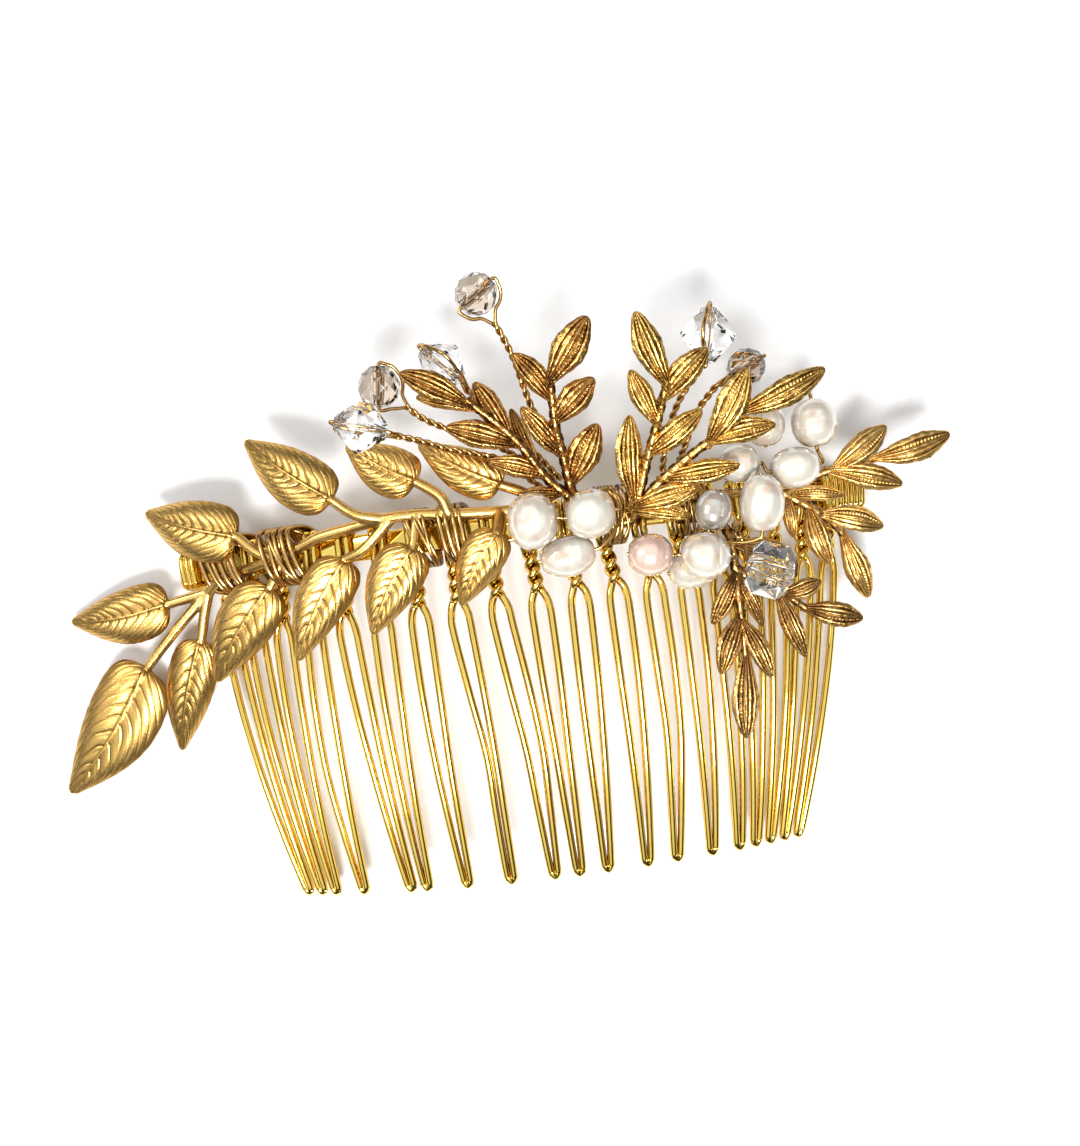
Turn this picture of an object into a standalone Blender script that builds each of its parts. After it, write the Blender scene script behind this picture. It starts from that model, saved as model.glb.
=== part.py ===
"""Decorative hair comb: a wire comb with a leaf branch, leaf sprays, pearls and crystals wired onto its bar.

The comb lies with its arch upwards. X runs along the bar, +Y from the teeth to the crystals, and Z is up.
Everything is placed from the comb's own origin, the middle of the bar at the top of its arch, in mm.
"""

import math

import bmesh
import bpy
from mathutils import Vector

MM = 0.001
WELD = 0.001
COMB_CENTRE = (4.25, 6.7, 13.7)  # the bar's middle, seen from the centre of the whole object's footprint

# The wire comb
ARCH_RADIUS = 70.0
BAR_ARC = 88.0
BAR_WIDTH = 3.0
BAR_THICKNESS = 0.8
BAR_FACETS = 22
TOOTH_COUNT = 19
TOOTH_PITCH = 4.15
TOOTH_OFFSET = 0.5
TOOTH_WIRE_RADIUS = 0.4
TOOTH_DROP = 4.5  # how far a tip bends down from the arch
APEX_Y = -7.8
TIP_Y = -40.0
HOOK_LIFT = 1.1  # the wire's middle above the middle of the bar
HOOK_TOP_Y = 2.45
HOOK_BEND_Y = 1.7
NECK_Y = -1.6
NECK_LEAN = 1.2  # how far along the bar a tooth's neck may lean
STRAIGHT_NECK = 7.5  # the place in the row of teeth where a neck doesn't lean
STRAND = 0.6  # half the distance between a tooth's two strands at the bar
ARM = 1.05  # the same, where the tooth is widest
NARROWING_ARM = 0.8
ARM_AT_TIP = 0.5
TIP_BEND = 0.32
# Where each tip ends along the bar: the teeth are a little bent, and lean inwards at both ends.
TIP_PLACES = (
    -34.0, -31.9, -29.8, -25.7, -19.2, -17.1, -11.9, -6.4, -1.0, 2.0,
    5.5, 10.5, 14.3, 18.9, 22.6, 24.9, 27.0, 29.1, 31.2,
)

# Wires and stems
WIRE_ROUNDNESS = 1  # the bevel resolution of every wire
BINDING_RADIUS = 0.25
CRYSTAL_WIRE_RADIUS = 0.2
TIE_RADIUS = 0.2
BRANCH_STEM_RADIUS = 0.5
LEAF_STEM_RADIUS = 0.45
STEM_UNDER_LEAF = 0.16  # the share of a leaf that its stem runs along under it
STEM_RISE = 0.2
SPRAY_STEM_RADIUS = 0.4
STRAND_GAP = 0.3  # half the distance between the two strands of a crystal's stem
LOOP_CLEARANCE = 0.5  # from a crystal's furthest corner to the middle of its wire
LOOP_STEP = 36  # degrees between the points of a loop
HALF_WAY_ROUND = 150  # a loop of more degrees than this needs to be told its side
STRAIGHT_TIE = 1.0  # pearls closer than this sit hole to hole on their wire
TIE_BULGE = 0.8  # how far a tie wire runs on before it turns back to the next pearl
PEARL_BORE = 0.4
PEARL_MOUTH = 16  # degrees from a pearl's hole axis to where its outside begins
PEARL_LIP = 0.02
PEARL_RINGS = 6
PEARL_SIDES = 10
CRYSTAL_BORE = 0.45

# Leaves: thickness, dome, the shares of their length that have a ring of points, and the points across
LEAF_THICKNESS = 0.7
LEAF_DOME = 1.0
LEAF_STATIONS = (0.08, 0.3, 0.6, 0.85)
LEAF_ACROSS = 5
LEAFLET_THICKNESS = 0.6
LEAFLET_DOME = 0.35
LEAFLET_STATIONS = (0.12, 0.4, 0.75)
LEAFLET_ACROSS = 3

# The leaf branch: the stem that carries each leaf, leaf base, leaf tip, leaf width
BRANCH_MAIN = (
    (1.5, 1.7, 2.8), (-6.5, 2.2, 2.3), (-11, 2.7, 1.8), (-15, 2.7, 1.3), (-19, 2.2, -0.1), (-22.5, 1.7, -1.1),
    (-25, 0.9, -2.1), (-29, -0.2, -3.8), (-32.5, -1.0, -5.6), (-35.8, -1.8, -7.2), (-37.3, -2.8, -8.0),
)
BRANCH_LEAVES = (
    (((-15, 2.7, 1.3), (-18, 3.6, 1.4)), (-21, 5.7, 0.8), (-30, 13.7, -3.2), 5.9),
    (((-28.5, 0.0, -3.6), (-30.5, 1.2, -3.6)), (-32.5, 2.7, -3.7), (-43.5, 7.2, -7.7), 6.4),
    (((-37.3, -2.8, -8.0),), (-42.5, -3.8, -8.7), (-55, -4.3, -11.7), 5.9),
    (((-37.3, -2.8, -8.0), (-41.5, -6.5, -8.7)), (-46, -10.8, -9.7), (-58, -24.8, -13.0), 8.8),
    (((-37.3, -2.8, -8.0), (-38.2, -5.5, -8.3)), (-39, -8.3, -8.7), (-44, -21.3, -12.7), 5.4),
    (((-26.8, 0.4, -2.9),), (-29.3, -3.3, -3.9), (-37.5, -13.3, -7.3), 6.3),
    (((-14, 2.7, 1.4), (-17.5, -0.3, 0.7)), (-20, -1.3, -0.2), (-27, -11.8, -2.2), 5.6),
    (((-11.2, 2.7, 1.8),), (-11.9, -0.8, 2.4), (-17.7, -9.8, 0.9), 5.9),
    (((-2, 1.9, 2.6),), (-2.5, -0.3, 4.2), (-7.5, -7.8, 2.9), 4.9),
    (((-7.6, 2.3, 2.3), (-8.4, 4.4, 2.6)), (-10.7, 6.2, 2.6), (-18, 11.2, 1.6), 5.5),
    (((1.5, 1.7, 2.8), (1, 3.4, 3.0)), (-1.5, 4.7, 3.0), (-10, 10.2, 2.6), 5.0),
)

# The four V-shaped sprays: stems, and leaflets as base, tip and width
SPRAYS = {
    "spray_upper_left": (
        (
            (
                (12.0, 0.8, 1.2), (9.0, 0.8, 1.7), (7.0, 1.0, 2.2), (5.5, 2.7, 3.8),
                (3.5, 4.7, 4.8), (0.5, 9.2, 6.8), (-4, 13.7, 8.3),
            ),
            ((7.0, 1.0, 2.2), (6, 3.2, 3.8), (5.5, 6.7, 5.8), (5, 10.2, 7.8), (5, 14.7, 9.8)),
        ),
        (
            ((-4, 13.2, 8.3), (-10.5, 17.2, 9.3), 2.8),
            ((-2.9, 12.5, 7.9), (-9.3, 14.8, 7.0), 2.0),
            ((0, 9.7, 6.8), (-3, 15.7, 6.6), 2.7),
            ((0.5, 8.6, 6.6), (-6.5, 11.2, 7.4), 2.8),
            ((3.5, 4.9, 4.8), (-2.5, 7.2, 5.6), 2.3),
            ((2.6, 6.4, 5.3), (0.5, 12.7, 4.6), 1.8),
            ((5, 2.9, 3.9), (0.2, 3.4, 4.4), 1.8),
            ((5, 14.5, 9.8), (9.5, 20.2, 11.8), 3.5),
            ((5, 12.4, 8.8), (1.5, 17.7, 9.6), 2.6),
            ((5, 10.4, 7.8), (9.5, 14.2, 9.4), 3.0),
            ((5.5, 6.9, 5.9), (1.7, 12.2, 8.2), 2.4),
            ((6, 4.0, 4.2), (9.5, 9.7, 6.2), 3.4),
        ),
    ),
    "spray_upper_middle": (
        (
            (
                (8.6, -1.1, 1.6), (11.8, -0.8, 1.4), (12.7, 0.5, 3.4),
                (14.5, 5.7, 5.8), (16, 9.7, 7.8), (17, 12.9, 9.8),
            ),
            ((12.7, 0.5, 3.4), (16, 3.2, 4.8), (19, 5.2, 6.3), (21.5, 6.7, 7.3), (25, 9.2, 8.8)),
        ),
        (
            ((17, 12.7, 9.7), (14.5, 20.2, 11.2), 3.0),
            ((16.5, 11.2, 8.7), (21.5, 15.7, 10.6), 2.9),
            ((15.7, 8.9, 7.5), (13.5, 14.7, 8.4), 2.4),
            ((14.5, 5.9, 5.9), (20.5, 9.7, 7.9), 2.6),
            ((12.7, 1.4, 4.1), (13, 10.2, 6.2), 2.9),
            ((24.7, 9.0, 8.7), (33.5, 12.2, 9.8), 2.9),
            ((21, 6.4, 7.2), (25.5, 13.2, 9.6), 3.3),
            ((21, 6.2, 7.1), (28, 7.2, 8.2), 2.6),
            ((16, 3.2, 4.9), (24, 3.5, 6.6), 2.6),
            ((12.6, 0.6, 3.8), (19.5, 1.8, 5.4), 2.7),
            ((12.0, 0.2, 3.4), (18.4, -1.2, 4.4), 2.0),
        ),
    ),
    "spray_right": (
        (
            (
                (17.4, 1.0, 0.1), (22, 1.0, -1.2), (27, 0.8, -3.1), (30, 0.2, -2.6),
                (33, 1.5, -2.9), (35.5, 2.2, -2.7), (41.5, 3.2, -3.2),
            ),
            ((30, 0.2, -2.6), (33, -1.8, -3.2), (35.5, -3.8, -4.2), (37, -5.8, -5.2)),
        ),
        (
            ((36, 2.4, -2.7), (42, 6.2, -1.9), 2.4),
            ((41, 3.1, -3.1), (49.5, 4.7, -2.7), 2.8),
            ((35.5, 2.1, -2.7), (43.5, -0.3, -2.7), 2.4),
            ((30.6, 0.0, -2.5), (36.4, -0.8, -1.4), 1.8),
            ((34.2, -2.7, -3.6), (41, -4.8, -3.6), 2.6),
            ((36.6, -5.3, -5.0), (39, -12.8, -6.4), 2.6),
            ((32.7, -1.6, -3.1), (34.3, -8.3, -3.4), 2.4),
            ((30.2, 0.0, -2.6), (30.5, -4.8, -2.6), 1.6),
        ),
    ),
    "spray_lower": (
        (
            (
                (17.4, -1.2, 0.0), (21.6, -1.6, -1.0), (23, -4.3, 0.4),
                (23, -7.8, 0.6), (23, -12.3, 0.8), (23, -17.8, 0.3),
            ),
            ((23, -7.4, 0.6), (26.5, -10.3, -0.6), (28.5, -11.0, -1.4), (31, -13.1, -2.2)),
        ),
        (
            ((23, -17.4, 0.4), (22, -26.3, 0.2), 3.0),
            ((23.1, -13.4, 0.8), (25.5, -19.8, 1.4), 2.4),
            ((23, -12.6, 0.8), (20, -18.8, 1.2), 2.6),
            ((23, -7.8, 0.7), (19.8, -13.3, 0.2), 2.2),
            ((23.1, -8.2, 0.6), (25.5, -14.3, -0.6), 1.6),
            ((28.3, -10.9, -1.2), (32.5, -10.0, -0.2), 2.2),
            ((30.8, -12.9, -2.1), (37, -14.8, -1.8), 2.8),
            ((27.6, -10.7, -1.0), (30, -18.3, -1.2), 2.2),
            ((23, -4.6, 0.5), (28.8, -5.6, -0.6), 2.2),
        ),
    ),
}

# Pearls: name, centre, hole axis, length along the hole, width across it
PEARLS = (
    ("pearl_left_a", (1.4, 0.3, 6.3), (1, 0, 0), 5.8, 6.2),
    ("pearl_left_b", (7.6, 0.3, 6.3), (1, 0.05, 0), 5.8, 5.5),
    ("pearl_left_c", (4.7, -3.8, 3.6), (1, 0.1, 0), 6.6, 4.6),
    ("pearl_middle_a", (13.4, -4.8, 6.2), (1, -0.15, 0), 5.2, 4.7),
    ("pearl_middle_b", (19.1, -5.6, 6.8), (1, -0.15, 0), 5.8, 5.3),
    ("pearl_middle_c", (18.4, -6.8, 1.2), (1, 0.1, 0), 6.2, 4.6),
    ("pearl_right_a", (21.0, -0.9, 3.6), (0.35, 1, 0), 4.8, 4.2),
    ("pearl_right_b", (25.9, -0.8, 6.0), (0.1, 1, 0), 6.6, 5.0),
    ("pearl_right_c", (30.4, 2.7, 3.2), (1, 0.05, 0), 5.8, 4.7),
    ("pearl_right_d", (24.4, 3.9, 2.9), (1, -0.1, 0), 5.0, 4.4),
    ("pearl_right_e", (28.1, 7.9, 1.6), (0.1, 1, 0), 5.2, 4.6),
    ("pearl_right_f", (33.3, 7.4, 2.1), (0, 1, 0), 5.7, 5.2),
)

# The wires that tie the pearls: each runs through the holes of its pearls in turn
TIES = {
    "pearl_tie_left": (("pearl_left_a", 1), ("pearl_left_b", 1), ("pearl_left_c", -1)),
    "pearl_tie_middle": (("pearl_middle_a", 1), ("pearl_middle_b", 1), ("pearl_middle_c", -1)),
    "pearl_tie_right": (("pearl_right_a", -1), ("pearl_right_b", 1)),
    "pearl_tie_upper_right": (
        ("pearl_right_d", 1), ("pearl_right_c", 1), ("pearl_right_f", 1), ("pearl_right_e", -1),
    ),
}

# How a crystal is cut, from its hole to its waist: shares of half its width, and of half its length
CUTS = {
    "bicone": ((0.31, 1.0), (1.0, 0.05)),
    "round": ((0.48, 1.0), (0.86, 0.55), (1.0, 0.0)),
    "cube": ((0.72, 1.0), (1.0, 0.6)),
}
CRYSTAL_SIDES = {"bicone": 8, "round": 8, "cube": 4}

# Crystals: name, cut, centre, hole axis, length along it, width across it, side of the loop, stem route
CRYSTALS = (
    ("crystal_bicone_left", "bicone", (-15.3, 12.2, 8.3), (0.95, -0.3, 0), 5.6, 5.8, (0, -0.2, -1),
     ((-9, 10, 6.5), (-6.5, 9, 5.5), (-3, 8, 4.6), (-1.2, 7.4, 3.4), (1.0, 5.6, 2.2), (2.8, 4.0, 1.4))),
    ("crystal_round_left", "round", (-13.2, 16.6, 5.4), (0.1, 1, 0), 4.2, 4.6, (1, 0, 0),
     ((-9, 12.8, 4.2), (-6.5, 11.4, 3.9), (-3, 9.9, 3.9), (0.4, 7.6, 3.2), (4.0, 4.2, 1.6))),
    ("crystal_bicone_middle", "bicone", (-6.3, 18.2, 5.0), (0.7, -0.7, 0), 5.2, 5.3, (0.2, 0.2, 1),
     ((-2.6, 13.6, 4.2), (-0.6, 11.2, 3.8), (1.8, 8.6, 3.4), (5.0, 4.6, 1.6))),
    ("crystal_round_top", "round", (-1.6, 24.7, 7.8), (0.8, 0.6, 0), 4.2, 4.6, (0.3, 0.3, 1),
     ((0.5, 20.4, 6.2), (1.6, 17.5, 5.0), (3.0, 12, 4.0), (6.2, 5.0, 1.6))),
    ("crystal_bicone_right", "bicone", (22.5, 17.8, 5.4), (0.2, 1, 0), 5.8, 6.0, (-0.3, 0, 1),
     ((20.4, 13.6, 4.2), (18.4, 10.8, 3.0), (17.0, 7.4, 1.4), (16.4, 4.2, -0.4))),
    ("crystal_round_right", "round", (26.2, 14.0, 4.8), (0.9, 0.4, 0), 3.8, 4.1, (0, 0.2, -1),
     ((22.6, 12.2, 4.6), (20.4, 9.8, 3.4), (19.2, 7, 1.6), (18.2, 4.9, -0.5))),
    ("crystal_cube", "cube", (26.2, -8.0, 4.4), (0.92, -0.38, 0), 4.6, 5.9, (0, 0.5, 1),
     ((23.4, -3.6, 2.6), (23.6, -2.6, 0.6), (24.4, -2.4, -1.6))),
)

# Binding wires: each turn's place along the bar between two teeth, and where it shows in front
BINDINGS = {
    "binding_wire_outer": ((-35.4, -37.0), (-34.8, -35.9), (-34.2, -34.8), (-31.2, -33.4)),
    "binding_wire_fork": ((-27.1, -28.4), (-26.5, -27.3), (-25.9, -26.2), (-22.9, -25.0), (-22.3, -23.6)),
    "binding_wire_inner": (
        (-10.5, -10.4), (-9.9, -9.7), (-9.3, -9.0), (-6.3, -6.6), (-5.7, -5.7), (-5.1, -4.8),
    ),
    "binding_wire_middle": ((10.3, 9.6), (10.9, 10.4), (11.5, 11.2)),
    "binding_wire_right": ((18.6, 18.2), (19.2, 19.2), (19.8, 20.2)),
}
# One turn round the bar, hooks and stems: y, height over the bar, share of the way to the front place
TURN = (
    (-2.5, -1.2, 0.0), (-3.1, 0.8, 0.0), (-2.9, 2.5, 0.4), (-1.2, 3.45, 0.9),
    (2.6, 3.65, 1.0), (4.0, 2.4, 0.8), (3.4, -1.0, 0.3), (0.6, -2.0, 0.0),
)

# Finishes: colour, roughness, metallic
POLISHED_GOLD = ((0.90, 0.66, 0.16), 0.18, 1.0)
SATIN_GOLD = ((0.74, 0.47, 0.17), 0.38, 1.0)
ANTIQUE_GOLD = ((0.52, 0.31, 0.10), 0.34, 1.0)
BINDING_BRASS = ((0.48, 0.31, 0.13), 0.36, 1.0)
PEARL_WHITE = ((0.88, 0.85, 0.78), 0.22, 0.0)
PEARL_PINK = ((0.86, 0.71, 0.63), 0.22, 0.0)
CLEAR_CRYSTAL = ((0.93, 0.95, 0.96), 0.04, 0.0)
SMOKY_CRYSTAL = ((0.66, 0.56, 0.46), 0.05, 0.0)


def clear_scene():
    for thing in list(bpy.data.objects):
        bpy.data.objects.remove(thing, do_unlink=True)


def new_collection(name, rendered=True):
    collection = bpy.data.collections.new(name)
    collection.hide_render = not rendered
    bpy.context.scene.collection.children.link(collection)
    return collection


def finish_of(name, finish):
    colour, roughness, metallic = finish
    material = bpy.data.materials.new(name)
    material.use_nodes = True
    shader = material.node_tree.nodes["Principled BSDF"]
    shader.inputs["Base Color"].default_value = (*colour, 1.0)
    shader.inputs["Roughness"].default_value = roughness
    shader.inputs["Metallic"].default_value = metallic
    material.diffuse_color = (*colour, 1.0)
    return material


def add(name, data, finish):
    """Adds a piece to the comb, placed from the comb's origin."""
    piece = bpy.data.objects.new(name, data)
    piece.parent = comb_origin
    data.materials.append(finish_of(name, finish))
    comb_collection.objects.link(piece)
    return piece


def arch_point(along, y, height):
    """A point given by its distance along the bar, and its height over the middle of the bar's thickness."""
    angle = along / ARCH_RADIUS
    reach = ARCH_RADIUS + height
    return (reach * math.sin(angle), y, reach * math.cos(angle) - ARCH_RADIUS)


def wire_curve(name, points, radius):
    curve = bpy.data.curves.new(name, "CURVE")
    curve.dimensions = "3D"
    curve.bevel_depth = radius * MM
    curve.bevel_resolution = WIRE_ROUNDNESS
    curve.use_fill_caps = True
    spline = curve.splines.new("POLY")
    spline.points.add(len(points) - 1)
    for knot, point in zip(spline.points, points):
        knot.co = (*(Vector(point) * MM), 1.0)
    return curve


def add_wire(name, points, radius, finish):
    return add(name, wire_curve(name, points, radius), finish)


def helper_piece(name, data):
    """A piece that is only there to be fused into another."""
    piece = bpy.data.objects.new(name, data)
    piece.parent = comb_origin
    piece.hide_render = True
    piece.display_type = "WIRE"
    helper_collection.objects.link(piece)
    return piece


def stem_mesh(name, points, radius):
    """A stem as a closed mesh, because a curve can't be fused."""
    curve = wire_curve(name, points, radius)
    guide = bpy.data.objects.new(name, curve)
    helper_collection.objects.link(guide)
    bpy.context.view_layer.update()
    graph = bpy.context.evaluated_depsgraph_get()
    mesh = bpy.data.meshes.new_from_object(guide.evaluated_get(graph))
    bpy.data.objects.remove(guide, do_unlink=True)
    work = bmesh.new()
    work.from_mesh(mesh)
    bmesh.ops.remove_doubles(work, verts=work.verts, dist=WELD * MM)
    work.to_mesh(mesh)
    work.free()
    return mesh


def leaf_half_width(share, width):
    """Half the leaf's width at a share of its length: full near the base, drawn out towards the tip."""
    return 0.5 * width * math.sin(math.pi * share**0.72) ** 0.85


def leaf_mesh(name, base, tip, width, thickness, dome, stations, across):
    """A domed leaf, lofted through lens-shaped rings between the points of its base and its tip."""
    base, tip = Vector(base), Vector(tip)
    along = tip - base
    side = Vector((0, 0, 1)).cross(along).normalized()
    up = along.normalized().cross(side)
    work = bmesh.new()
    first = work.verts.new(base * MM)
    rings = []
    for share in stations:
        half = leaf_half_width(share, width)
        rise = dome * half / (0.5 * width)
        centre = base + along * share
        ring = []
        for step in range(across):
            place = -1 + 2 * step / (across - 1)
            point = centre + side * (half * place) + up * (rise * (1 - place * place))
            ring.append(work.verts.new(point * MM))
        ring.append(work.verts.new((centre + up * (rise - thickness)) * MM))
        rings.append(ring)
    last = work.verts.new(tip * MM)
    around = across + 1
    for near, far in zip(rings, rings[1:]):
        for step in range(around):
            after = (step + 1) % around
            work.faces.new((near[step], far[step], far[after], near[after]))
    for step in range(around):
        after = (step + 1) % around
        work.faces.new((first, rings[0][step], rings[0][after]))
        work.faces.new((last, rings[-1][after], rings[-1][step]))
    bmesh.ops.recalc_face_normals(work, faces=work.faces)
    mesh = bpy.data.meshes.new(name)
    work.to_mesh(mesh)
    work.free()
    return mesh


def fuse(name, meshes, finish):
    """One body from overlapping pieces: the first piece takes in all the others."""
    body = add(name, meshes[0], finish)
    others = bpy.data.collections.new(name + "_pieces")
    helper_collection.children.link(others)
    for number, mesh in enumerate(meshes[1:]):
        piece = helper_piece(f"{name}_piece_{number}", mesh)
        others.objects.link(piece)
        helper_collection.objects.unlink(piece)
    union = body.modifiers.new("fuse", "BOOLEAN")
    union.operation = "UNION"
    union.operand_type = "COLLECTION"
    union.collection = others
    union.solver = "EXACT"
    return body


def add_bar():
    """The flat strip that the teeth hook over: a straight bar, cut into facets and bent to the arch."""
    work = bmesh.new()
    bmesh.ops.create_cube(work, size=1.0)
    long_edges = [edge for edge in work.edges if abs(edge.verts[0].co.x - edge.verts[1].co.x) > 0.5]
    bmesh.ops.subdivide_edges(work, edges=long_edges, cuts=BAR_FACETS - 1, use_grid_fill=True)
    for vertex in work.verts:
        bent = arch_point(vertex.co.x * BAR_ARC, vertex.co.y * BAR_WIDTH, vertex.co.z * BAR_THICKNESS)
        vertex.co = Vector(bent) * MM
    mesh = bpy.data.meshes.new("top_bar")
    work.to_mesh(mesh)
    work.free()
    return add("top_bar", mesh, POLISHED_GOLD)


def strand_points(side):
    """One strand of a tooth, from its tail behind the bar to its tip: shift along the bar, y, height."""
    return (
        (side * STRAND, -0.9, -HOOK_LIFT),
        (side * STRAND, HOOK_BEND_Y, -HOOK_LIFT),
        (side * STRAND, HOOK_TOP_Y, 0.0),
        (side * STRAND, HOOK_BEND_Y, HOOK_LIFT),
        (side * STRAND, NECK_Y, HOOK_LIFT),
        (side * STRAND, -3.0, 0.2),
        (0.0, -4.6, -side * STRAND),
        (-side * STRAND, -6.2, 0.0),
        (-side * ARM, -9.5, 0.0),
        (-side * ARM, -18.0, 0.0),
        (-side * NARROWING_ARM, -30.0, 0.0),
        (-side * ARM_AT_TIP, TIP_Y + 0.9, 0.0),
        (-side * TIP_BEND, TIP_Y + 0.25, 0.0),
    )


def add_tooth(number):
    """One tooth: a wire hooked over the bar twice, twisted once below it, and bent to a narrow U."""
    hook_at = TOOTH_OFFSET + (number - (TOOTH_COUNT - 1) / 2) * TOOTH_PITCH
    apex_at = hook_at + NECK_LEAN * math.sin(2 * math.pi * (number - STRAIGHT_NECK) / (TOOTH_COUNT - 1))
    route = (*strand_points(-1), (0.0, TIP_Y, 0.0), *reversed(strand_points(1)))
    points = []
    for shift, y, height in route:
        down_neck = min(max((NECK_Y - y) / (NECK_Y - APEX_Y), 0.0), 1.0)
        down_tooth = max((APEX_Y - y) / (APEX_Y - TIP_Y), 0.0)
        lean = (apex_at - hook_at) * down_neck + (TIP_PLACES[number] - apex_at) * down_tooth
        points.append(arch_point(hook_at + shift + lean, y, height - TOOTH_DROP * down_tooth**2))
    add_wire(f"tooth_{number + 1:02d}", points, TOOTH_WIRE_RADIUS, POLISHED_GOLD)


def add_branch():
    meshes = [stem_mesh("branch_main", BRANCH_MAIN, BRANCH_STEM_RADIUS)]
    for number, (stem, base, tip, width) in enumerate(BRANCH_LEAVES):
        into = Vector(base).lerp(Vector(tip), STEM_UNDER_LEAF) + Vector((0, 0, STEM_RISE))
        meshes.append(stem_mesh(f"branch_stem_{number}", (*stem, base, into), LEAF_STEM_RADIUS))
        leaf = leaf_mesh(
            f"branch_leaf_{number}", base, tip, width, LEAF_THICKNESS, LEAF_DOME, LEAF_STATIONS, LEAF_ACROSS
        )
        meshes.append(leaf)
    fuse("leaf_branch", meshes, SATIN_GOLD)


def add_sprays():
    for name, (stems, leaflets) in SPRAYS.items():
        meshes = []
        for number, stem in enumerate(stems):
            meshes.append(stem_mesh(f"{name}_stem_{number}", stem, SPRAY_STEM_RADIUS))
        for number, (base, tip, width) in enumerate(leaflets):
            leaflet = leaf_mesh(
                f"{name}_leaflet_{number}", base, tip, width,
                LEAFLET_THICKNESS, LEAFLET_DOME, LEAFLET_STATIONS, LEAFLET_ACROSS,
            )
            meshes.append(leaflet)
        fuse(name, meshes, ANTIQUE_GOLD)


def add_turned(name, centre, axis, profile, steps, smooth, finish):
    """A bead turned about its hole: the profile runs down its outside and back up through the hole."""
    mesh = bpy.data.meshes.new(name)
    count = len(profile)
    mesh.from_pydata(
        [(radius * MM, 0, height * MM) for radius, height in profile],
        [(n, (n + 1) % count) for n in range(count)],
        [],
    )
    bead = add(name, mesh, finish)
    bead.location = Vector(centre) * MM
    bead.rotation_mode = "QUATERNION"
    bead.rotation_quaternion = Vector(axis).to_track_quat("Z", "X")
    turn = bead.modifiers.new("turn", "SCREW")
    turn.axis = "Z"
    turn.angle = 2 * math.pi
    turn.steps = steps
    turn.render_steps = steps
    turn.use_smooth_shade = smooth
    return bead


def pearl_profile(length, width):
    """An oval, flattened where the hole comes out."""
    points = []
    for step in range(PEARL_RINGS):
        angle = math.radians(PEARL_MOUTH + (180 - 2 * PEARL_MOUTH) * step / (PEARL_RINGS - 1))
        points.append((0.5 * width * math.sin(angle), 0.5 * length * math.cos(angle)))
    mouth = points[0][1] + PEARL_LIP
    return [(PEARL_BORE, mouth), *points, (PEARL_BORE, -mouth)]


def crystal_outside(cut, length, width):
    """A cut bead's outside, as radius and height from one end of its hole to the other."""
    half, wide = 0.5 * length, 0.5 * width
    upper = [(wide * radius, half * height) for radius, height in CUTS[cut]]
    lower = [(radius, -height) for radius, height in reversed(upper) if height > 0]
    return upper + lower


def add_pearls():
    for name, centre, axis, length, width in PEARLS:
        finish = PEARL_PINK if name == "pearl_middle_a" else PEARL_WHITE
        add_turned(name, centre, axis, pearl_profile(length, width), PEARL_SIDES, True, finish)


def hole_ends(pearl, way):
    """Where a wire goes into a pearl and comes out of it, and the direction that it goes in."""
    centre, axis, length = next(entry[1:4] for entry in PEARLS if entry[0] == pearl)
    direction = Vector(axis).normalized() * way
    return Vector(centre) - direction * 0.5 * length, Vector(centre) + direction * 0.5 * length, direction


def add_ties():
    """A wire through the holes of each group of pearls, curving clear of them from one to the next."""
    for name, visits in TIES.items():
        points = []
        for pearl, way in visits:
            entry, leave, direction = hole_ends(pearl, way)
            if points and (entry - points[-1]).length > STRAIGHT_TIE:
                points.append(points[-1] + last_direction * TIE_BULGE)
                points.append(entry - direction * TIE_BULGE)
            points.extend((entry, leave))
            last_direction = direction
        add_wire(name, points, TIE_RADIUS, BINDING_BRASS)


def around_bead(centre, start, end, side, radius):
    """Points on an arc about the bead from one direction to another, leaving on the given side."""
    start, end = start.normalized(), end.normalized()
    angle = start.angle(end)
    if angle > math.radians(HALF_WAY_ROUND):
        across = (side - start * side.dot(start)).normalized()
    else:
        across = (end - start * end.dot(start)).normalized()
    steps = max(int(math.degrees(angle) / LOOP_STEP), 1)
    points = []
    for step in range(steps + 1):
        turned = angle * step / steps
        points.append(centre + (start * math.cos(turned) + across * math.sin(turned)) * radius)
    return points


def add_crystal_wire(name, centre, axis, radius, side, stem):
    """One wire: up its stem, through the crystal, round its outside and back down beside itself."""
    centre, axis, side = Vector(centre), Vector(axis).normalized(), Vector(side)
    stem = [Vector(point) for point in stem]
    to_stem = (stem[0] - centre).normalized()
    if axis.dot(to_stem) < 0:
        axis = -axis
    near = around_bead(centre, to_stem, axis, side, radius)
    far = around_bead(centre, -axis, to_stem, side, radius)
    apart = to_stem.cross(side).normalized() * STRAND_GAP
    up_strand = [point + apart for point in reversed(stem)]
    down_strand = [point - apart for point in stem]
    up_strand.extend(near[1:] if len(near) > 2 else near[-1:])
    points = [*up_strand, *far[:-1], *down_strand]
    add_wire(name, points, CRYSTAL_WIRE_RADIUS, BINDING_BRASS)


def add_crystals():
    for name, cut, centre, axis, length, width, side, stem in CRYSTALS:
        finish = SMOKY_CRYSTAL if cut == "round" else CLEAR_CRYSTAL
        outside = crystal_outside(cut, length, width)
        profile = [(CRYSTAL_BORE, 0.5 * length), *outside, (CRYSTAL_BORE, -0.5 * length)]
        add_turned(name, centre, axis, profile, CRYSTAL_SIDES[cut], False, finish)
        loop_radius = max(math.hypot(*corner) for corner in outside) + LOOP_CLEARANCE
        add_crystal_wire(name.replace("crystal", "stem_wire"), centre, axis, loop_radius, side, stem)


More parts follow.
